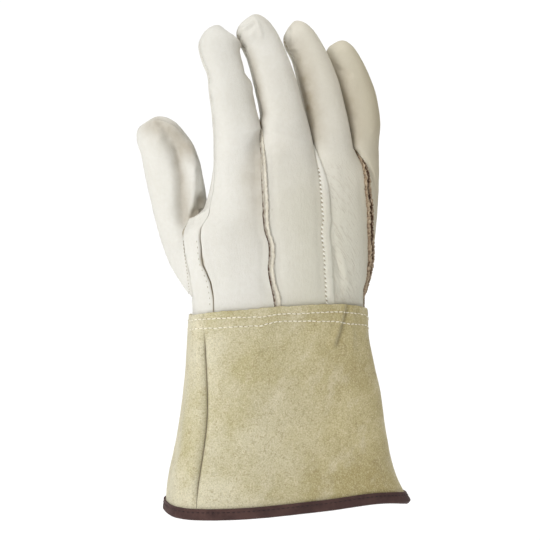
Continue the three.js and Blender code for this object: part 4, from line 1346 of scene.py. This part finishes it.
def folded_welt(v, z):
    share = -np.cos(np.linspace(0, np.pi, 17))[None]
    wide = welt_half(v, z)
    top = welt_rise(share * wide, wide) * mix(1, 0.7, smooth((v - 0.7) / 0.3)) + 0.05
    # darker higher up, a dark line at the left edge, painted shade down the right side that grows towards the
    # fingers, and painted shade under the foot
    right = 0.3 + 0.7 * smooth((v - 0.6) / 0.15)
    upper = 0.12 * smooth((v - 0.35) / 0.45)
    welt_soil_and_shade = upper + right * bump(share - 1, 0.12) + 0.25 * bump(share + 1, 0.08) + 0 * wide
    x, y, soil_and_shade = [share * wide], [top], [welt_soil_and_shade]
    for across, rise in WELT_FOOT:
        x.append(across * wide)
        y.append(rise + 0 * wide)
        soil_and_shade.append(0.9 + 0 * wide)
    return np.concatenate(x, 1), np.concatenate(y, 1), np.concatenate(soil_and_shade, 1)


# Two cut edges that stand side by side with a crack between them.
RAW_PROFILE = table("place rise", [
    (-1, -1.2),
    (-1.02, 0.6),
    (-0.85, 1.5),
    (-0.55, 1.7),
    (-0.25, 1.3),
    (-0.05, -0.6),
    (0.1, -0.4),
    (0.25, 1.5),
    (0.55, 2.2),
    (0.85, 2),
    (1, 1.1),
    (1, -1.2),
    (0.6, -1.5),
    (-0.6, -1.5),
])
RAW_WIDTHS = ((0, 1.1), (0.12, 1.5), (0.25, 2.6), (0.42, 3.4), (0.6, 2.8), (0.85, 2.2), (1, 0.9))


def raw_edges(v, z):
    place, rise = RAW_PROFILE["place"][None], RAW_PROFILE["rise"][None]
    half = follow(v, RAW_WIDTHS)
    wide = half + 0.25 * wander(z, 5, 41)
    ragged = 0.6 * roughness(place, z, 7, 60, 0.9, 42) * (rise > 0)
    tall = (1 + 0.25 * wander(z, 6, 43)) * np.minimum(1, 0.35 + 0.4 * half)
    crack = bump(place - 0.02 - 0.25 * wander(z, 4, 45), 0.34)
    flecks = smooth(1.6 * roughness(place, z, 6, 64, 0.8, 46))
    edges = 0.5 * bump(np.abs(place) - 1.05, 0.2) + 0.1 * (place > 0.2)
    return place * wide + ragged, rise * tall + ragged, 1.1 * crack + edges + 0.4 * flecks


seam_strip("index_middle_strip", 1, flat_strip, PALE_RAW, "welt_index_middle")
seam_strip("middle_ring_welt", 2, folded_welt, WELT_LEATHER, "welt_middle_ring")
seam_strip("ring_little_edges", 3, raw_edges, RAW, "raw_seam_ring_little")


# Pitch and length of the stitches along their seams, in millimetres, with the starts of the cuff's two rows
# and the height of the binding's row above the hem.
CUFF_PITCH = 3.4
CUFF_STITCH = 2.75
CUFF_STARTS = (0.6, 2.1)
WELT_PITCH = 3.0
WRAP_PITCH = 3.9
WRAP_STITCH = 1.2
FINGER_PITCH = 3.1
ROOT_PITCH = 2.4
ROOT_STITCH = 1.3
BINDING_PITCH = 3.4
BINDING_STITCH = 2.2
BINDING_ROW = 0.62 * (BINDING_HEIGHT - CUFF_BOTTOM)


def distance_along(points):
    """How far each point of a line is from the line's start."""
    return np.concatenate([[0], np.cumsum(np.linalg.norm(np.diff(points, axis=0), axis=-1))])


def taken(places, reach, data):
    """Data of a line's points at places along it, where reach gives the points' own places."""
    return np.stack([np.interp(places, reach, data[:, k]) for k in range(3)], -1)


# Hem binding
def fold_profile(width, depth, high):
    """Half of the tape's section: down one side of the hem, round its edge and up the other side."""
    side = [(width, high * share) for share in (1, 0.93, 0.75, 0.5, 0.25)]
    turns = np.radians(np.linspace(0, 180, 13))
    edge = [(width * math.cos(turn), -depth * math.sin(turn)) for turn in turns]
    return side + edge + [(-x, y) for x, y in reversed(side)]


def build_binding():
    """The tape folded round the hem, sunk a little at each stitch."""
    thick = SUEDE / 2 + GAP
    high = BINDING_HEIGHT - CUFF_BOTTOM
    outside = fold_profile(thick + TAPE, CUFF_BOTTOM + 0.3, high)
    inside = fold_profile(thick, 0.3, high)
    x, y = np.array(outside + inside[::-1]).T
    degrees = np.linspace(0, 360, 481)[:-1]
    up, turn = np.broadcast_arrays((np.clip(y, 0, None) / CUFF_RUN)[None], degrees[:, None])
    at = cuff_point(up, turn)
    normal = normal_of(cuff_point, up, turn, 0, 1)
    length = distance_along(at[:, 0])[:, None]
    sewn = bump(y - BINDING_ROW, 1.3) * (x > 0)
    sink = 0.22 * sewn * (1 + np.cos(2 * np.pi * length / BINDING_PITCH)) / 2 + 0.1 * sewn
    sink = sink - 0.14 * noise(at, 5, 51) * (x > 0)
    rings = at + times(x - SUEDE / 2 - sink, normal) + vector(0, 0, np.minimum(y, 0)[None])
    piece = tube("binding", rings, TAPE_CLOTH, BINDING_SHARP, closed=True)
    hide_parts("hem_binding")


build_binding()


# Stitches
def stitches(name, start, end, normal, radius, material, rise, sink, uneven=0.0):
    """Short threads from start to end over the leather, tapered where they go in."""
    steps, around = 7, 6
    count = len(start)
    random = np.random.default_rng(len(name) + count)
    aside = unit(np.cross(end - start, normal))
    start = start + times(uneven * random.uniform(-1, 1, count), aside)
    end = end + times(uneven * random.uniform(-1, 1, count), aside)
    t = np.linspace(0, 1, steps)[None, :, None]
    along = end - start
    side = unit(np.cross(along, normal))[:, None, None]
    lift = unit(normal)[:, None]
    middle = start[:, None] + t * along[:, None] + (rise * np.sin(np.pi * t) - sink) * lift
    size = radius * (0.35 + 0.65 * np.sin(np.pi * t) ** 0.5)[..., None]
    turn = np.linspace(0, 2 * np.pi, around, endpoint=False)[None, None, :, None]
    points = middle[:, :, None] + size * (np.cos(turn) * side + np.sin(turn) * lift[:, None])
    ids = np.arange(count * steps * around).reshape(count, steps, around)
    turned = np.roll(ids, -1, axis=2)
    faces = np.stack([ids[:, :-1], turned[:, :-1], turned[:, 1:], ids[:, 1:]], -1).reshape(-1, 4).tolist()
    faces += ids[:, 0, ::-1].tolist() + ids[:, -1].tolist()
    return new_object(name, points.reshape(-1, 3), faces, material, THREAD_SHARP)


def seats(points, normals, pitch, length, start=0.0):
    """Where stitches of a length and pitch lie along a line of points: their ends and normals."""
    reach = distance_along(points)
    first = np.arange(start, reach[-1] - length, pitch)
    a, b = taken(first, reach, points), taken(first + length, reach, points)
    return a, b, unit(taken(first + length / 2, reach, normals))


# Distance of the two rows below the cuff's top edge round its outline, in millimetres.
CUFF_ROWS = table("at first second", [
    (0, 4.0, 9.8),
    (30, 3.9, 10.0),
    (40, 4.1, 10.3),
    (60, 4.9, 10.8),
    (72, 5.4, 10.9),
    (81, 4.7, 9.5),
    (95, 5.4, 10.3),
    (122, 5.2, 11.8),
    (129, 5.4, 13.0),
    (138, 5.4, 12.6),
    (150, 5.3, 12.3),
    (190, 5.2, 11.5),
    (270, 5.0, 11.0),
    (360, 4.0, 9.8),
])


def pick(choose, first, second):
    """Points and normals of the first dressed surface where choose holds, and else of the second."""
    return [np.where(choose[:, None], first[k], second[k]) for k in (0, 1)]


def cuff_line(up, degrees):
    """Points and normals of the dressed cuff at angles round its outline."""
    a, b = column(CUFF_SEAMS, "thumb", up), column(CUFF_SEAMS, "little", up)
    turn = np.mod(degrees - a, 360) + a
    c_back = np.clip((turn - a) / (b - a), 0.001, 0.999)
    c_palm = np.clip((turn - 360 - a) / (b - 360 - a), 0.001, 0.999)
    return pick(turn <= b, cuff_skin("back")(up, c_back), cuff_skin("palm")(up, c_palm))


def ray_line(i, side, v, from_edge, edge):
    """Points and normals on a ray at a distance in millimetres from its left (0) or right (1) edge."""
    share = from_edge / edge_stretch(ray_plain(i, side), v, edge)
    at, normal, _ = RAY_SKINS[i, side](v, np.abs(edge - share))
    return at, normal


def cuff_stitches():
    """Two rows of white stitches that hold the cuff to the hand, each with a dark mark of painted shade for
    the needle hole at its end.
    """
    rows = []
    degrees = np.linspace(0, 360, 1600)
    for row, start in zip(("first", "second"), CUFF_STARTS):
        below = column(CUFF_ROWS, row, degrees) + 0.12 * np.sin(np.radians(degrees * 11))
        points, normals = cuff_line(1 - below / CUFF_RUN, degrees)
        rows.append(seats(points, normals, CUFF_PITCH, CUFF_STITCH, start))
    a, b, n = (np.concatenate(parts) for parts in zip(*rows))
    stitches("cuff_stitches", a, b, n, 0.38, CREAM_THREAD, rise=0.3, sink=0.02, uneven=0.3)
    # painted shade: dark sunk marks for the needle holes
    along = unit(b - a)
    stitches("needle_holes", b + 0.1 * along, b + 0.6 * along, n, 0.26, HOLE_SHADE, rise=0.02, sink=0.12)


def welt_stitches():
    """Prick stitches beside the folded welt, each with a darker mark of painted shade above it for its dip.
    """
    v, middle, across, out = seam_frames(2)
    wide = welt_half(v, middle[:, 2])
    x = -0.7 * wide
    at = middle + times(x, across) + times(welt_rise(x, wide) + 0.05, out)
    foot = middle + times(1.6 * x, across) + 0.35 * out
    reach = distance_along(at)
    places = np.arange(reach[np.searchsorted(v, 0.13)], reach[np.searchsorted(v, 0.86)], WELT_PITCH)
    a, b = taken(places + 1.3, reach, foot), taken(places, reach, at)
    n = taken(places, reach, out - across)
    stitches("welt_stitches", a, b, n, 0.48, WHITE_THREAD, rise=0.45, sink=0.0)
    # painted shade: darker marks that stand for the shaded dips between the stitches
    above = a + 1.5 * taken(places, reach, unit(np.gradient(at, axis=0)))
    start, end = above + 0.1 * (b - a), above + 0.7 * (b - a)
    stitches("welt_dips", start, end, n, 0.34, SHADED_THREAD, rise=0.1, sink=0.1)


def wrap_stitches():
    """Small stitches in the palm panel beside the index finger's back panel."""
    at, normal = ray_line(0, "palm", np.linspace(0.16, 0.5, 300), 2.6, 0)
    a, b, n = seats(at, normal, WRAP_PITCH, WRAP_STITCH)
    stitches("wrap_stitches", a, b, n, 0.22, SHADED_THREAD, rise=0.1, sink=0.06)


def finger_stitches():
    """Overcast stitches in the side seams of the fingers."""
    rows = []
    v = np.linspace(1.12, 2.75, 260)
    for i in range(4):
        for edge in (0, 1):
            back, normal = ray_line(i, "back", v, 1.1, edge)
            palm, other = ray_line(i, "palm", v, 0.9, edge)
            reach = distance_along(back)
            places = np.arange(0.5, reach[-1] - 1, FINGER_PITCH)
            out = unit(taken(places, reach, normal) + taken(places, reach, other))
            rows.append((taken(places, reach, back), taken(places + 0.7, reach, palm), out))
    a, b, n = (np.concatenate(parts) for parts in zip(*rows))
    stitches("finger_stitches", a, b, n, 0.22, TAN_THREAD, rise=-0.5, sink=0.0)


def thumb_stitches():
    """Fine stitches round the thumb's root."""
    turn = np.mod(np.linspace(0, 360, 500), 360)
    t = np.full_like(turn, 0.022)
    back = thumb_skin("back")(t, np.clip(turn / 180, 0, 1))
    palm = thumb_skin("palm")(t, np.clip((360 - turn) / 180, 0, 1))
    a, b, n = seats(*pick(turn <= 180, back, palm), ROOT_PITCH, ROOT_STITCH)
    stitches("thumb_root_stitches", a, b, n, 0.24, SHADED_THREAD, rise=0.1, sink=0.05)


def binding_stitches():
    degrees = np.linspace(0, 360, 1600)
    up = np.full_like(degrees, BINDING_ROW / CUFF_RUN)
    normal = normal_of(cuff_point, up, degrees, 0, 1)
    at = cuff_point(up, degrees) + (GAP + TAPE - 0.2) * normal
    a, b, n = seats(at, normal, BINDING_PITCH, BINDING_STITCH)
    stitches("binding_stitches", a, b, n, 0.26, DARK_THREAD, rise=0.15, sink=0.0)


cuff_stitches()
welt_stitches()
wrap_stitches()
finger_stitches()
thumb_stitches()
binding_stitches()


# Floor, light and camera
FLOOR_DROP = 75
FLOOR_RADIUS = 30000
KEY_PLACE = (-620, -420, 330)
KEY_AIM = (0, 0, 170)
KEY_SIZE = (0.3, 0.45)
KEY_POWER = 2.9
SKY_POWER = 4
SKY_DARKEST = 0.08
SKY_BRIGHTEST = 3.9
AZIMUTH = -18
ELEVATION = 7.5
DISTANCE = 1600
TARGET = (0, 0, 170)
SENSOR = 36
PICTURE = 540
FOCAL_PIXELS = 2377
TARGET_PIXEL = (288, 257)


def build_stage():
    s = new_shader("floor_paint")
    colour = s.blend(s.noise(400), rgb(253, 253, 253), rgb(251, 251, 251))
    matt = s.node("ShaderNodeBsdfDiffuse", {"Color": colour})
    s.node("ShaderNodeOutputMaterial", {"Surface": matt.outputs[0]})
    turn = np.radians(np.arange(0, 360, 5))
    height = cad_box[0][2] / MM - FLOOR_DROP
    points = vector(np.cos(turn) * FLOOR_RADIUS, np.sin(turn) * FLOOR_RADIUS, height)
    mesh = bpy.data.meshes.new("floor")
    mesh.from_pydata((points * MM).tolist(), [], [list(range(len(turn)))])
    mesh.materials.append(s.owner)
    floor = bpy.data.objects.new("floor", mesh)
    bpy.context.scene.collection.objects.link(floor)


def build_light():
    """A sky that is brightest overhead, and one soft lamp at the upper left."""
    world = bpy.data.worlds.new("studio")
    s = Shader(world, "Generated")
    up = s.node("ShaderNodeSeparateXYZ", {0: s.place}).outputs["Z"]
    share = s.node("ShaderNodeMath", {0: up, 1: SKY_POWER}, operation="POWER", use_clamp=True).outputs[0]
    light = s.node("ShaderNodeBackground", {"Strength": s.span(share, 0.0, 1.0, SKY_DARKEST, SKY_BRIGHTEST)})
    s.node("ShaderNodeOutputWorld", {"Surface": light.outputs[0]})
    bpy.context.scene.world = world
    key = bpy.data.lights.new("key", "AREA")
    key.shape = "RECTANGLE"
    key.size, key.size_y = KEY_SIZE
    key.energy = KEY_POWER
    lamp = bpy.data.objects.new("key", key)
    bpy.context.scene.collection.objects.link(lamp)
    lamp.location = Vector(KEY_PLACE) * MM
    lamp.rotation_euler = (lamp.location - Vector(KEY_AIM) * MM).to_track_quat("Z", "Y").to_euler()


def build_camera():
    a, e = math.radians(AZIMUTH), math.radians(ELEVATION)
    back = Vector((math.sin(a) * math.cos(e), -math.cos(a) * math.cos(e), math.sin(e)))
    lens = bpy.data.cameras.new("camera")
    lens.sensor_width = SENSOR
    lens.lens = FOCAL_PIXELS * SENSOR / PICTURE
    lens.shift_x = (PICTURE / 2 - TARGET_PIXEL[0]) / PICTURE
    lens.shift_y = (TARGET_PIXEL[1] - PICTURE / 2) / PICTURE
    lens.clip_end = 200
    camera = bpy.data.objects.new("camera", lens)
    camera.location = (Vector(TARGET) + back * DISTANCE) * MM
    camera.rotation_euler = back.to_track_quat("Z", "Y").to_euler()
    bpy.context.scene.collection.objects.link(camera)
    bpy.context.scene.camera = camera


build_stage()
build_light()
build_camera()
bpy.context.scene.view_settings.view_transform = "Standard"
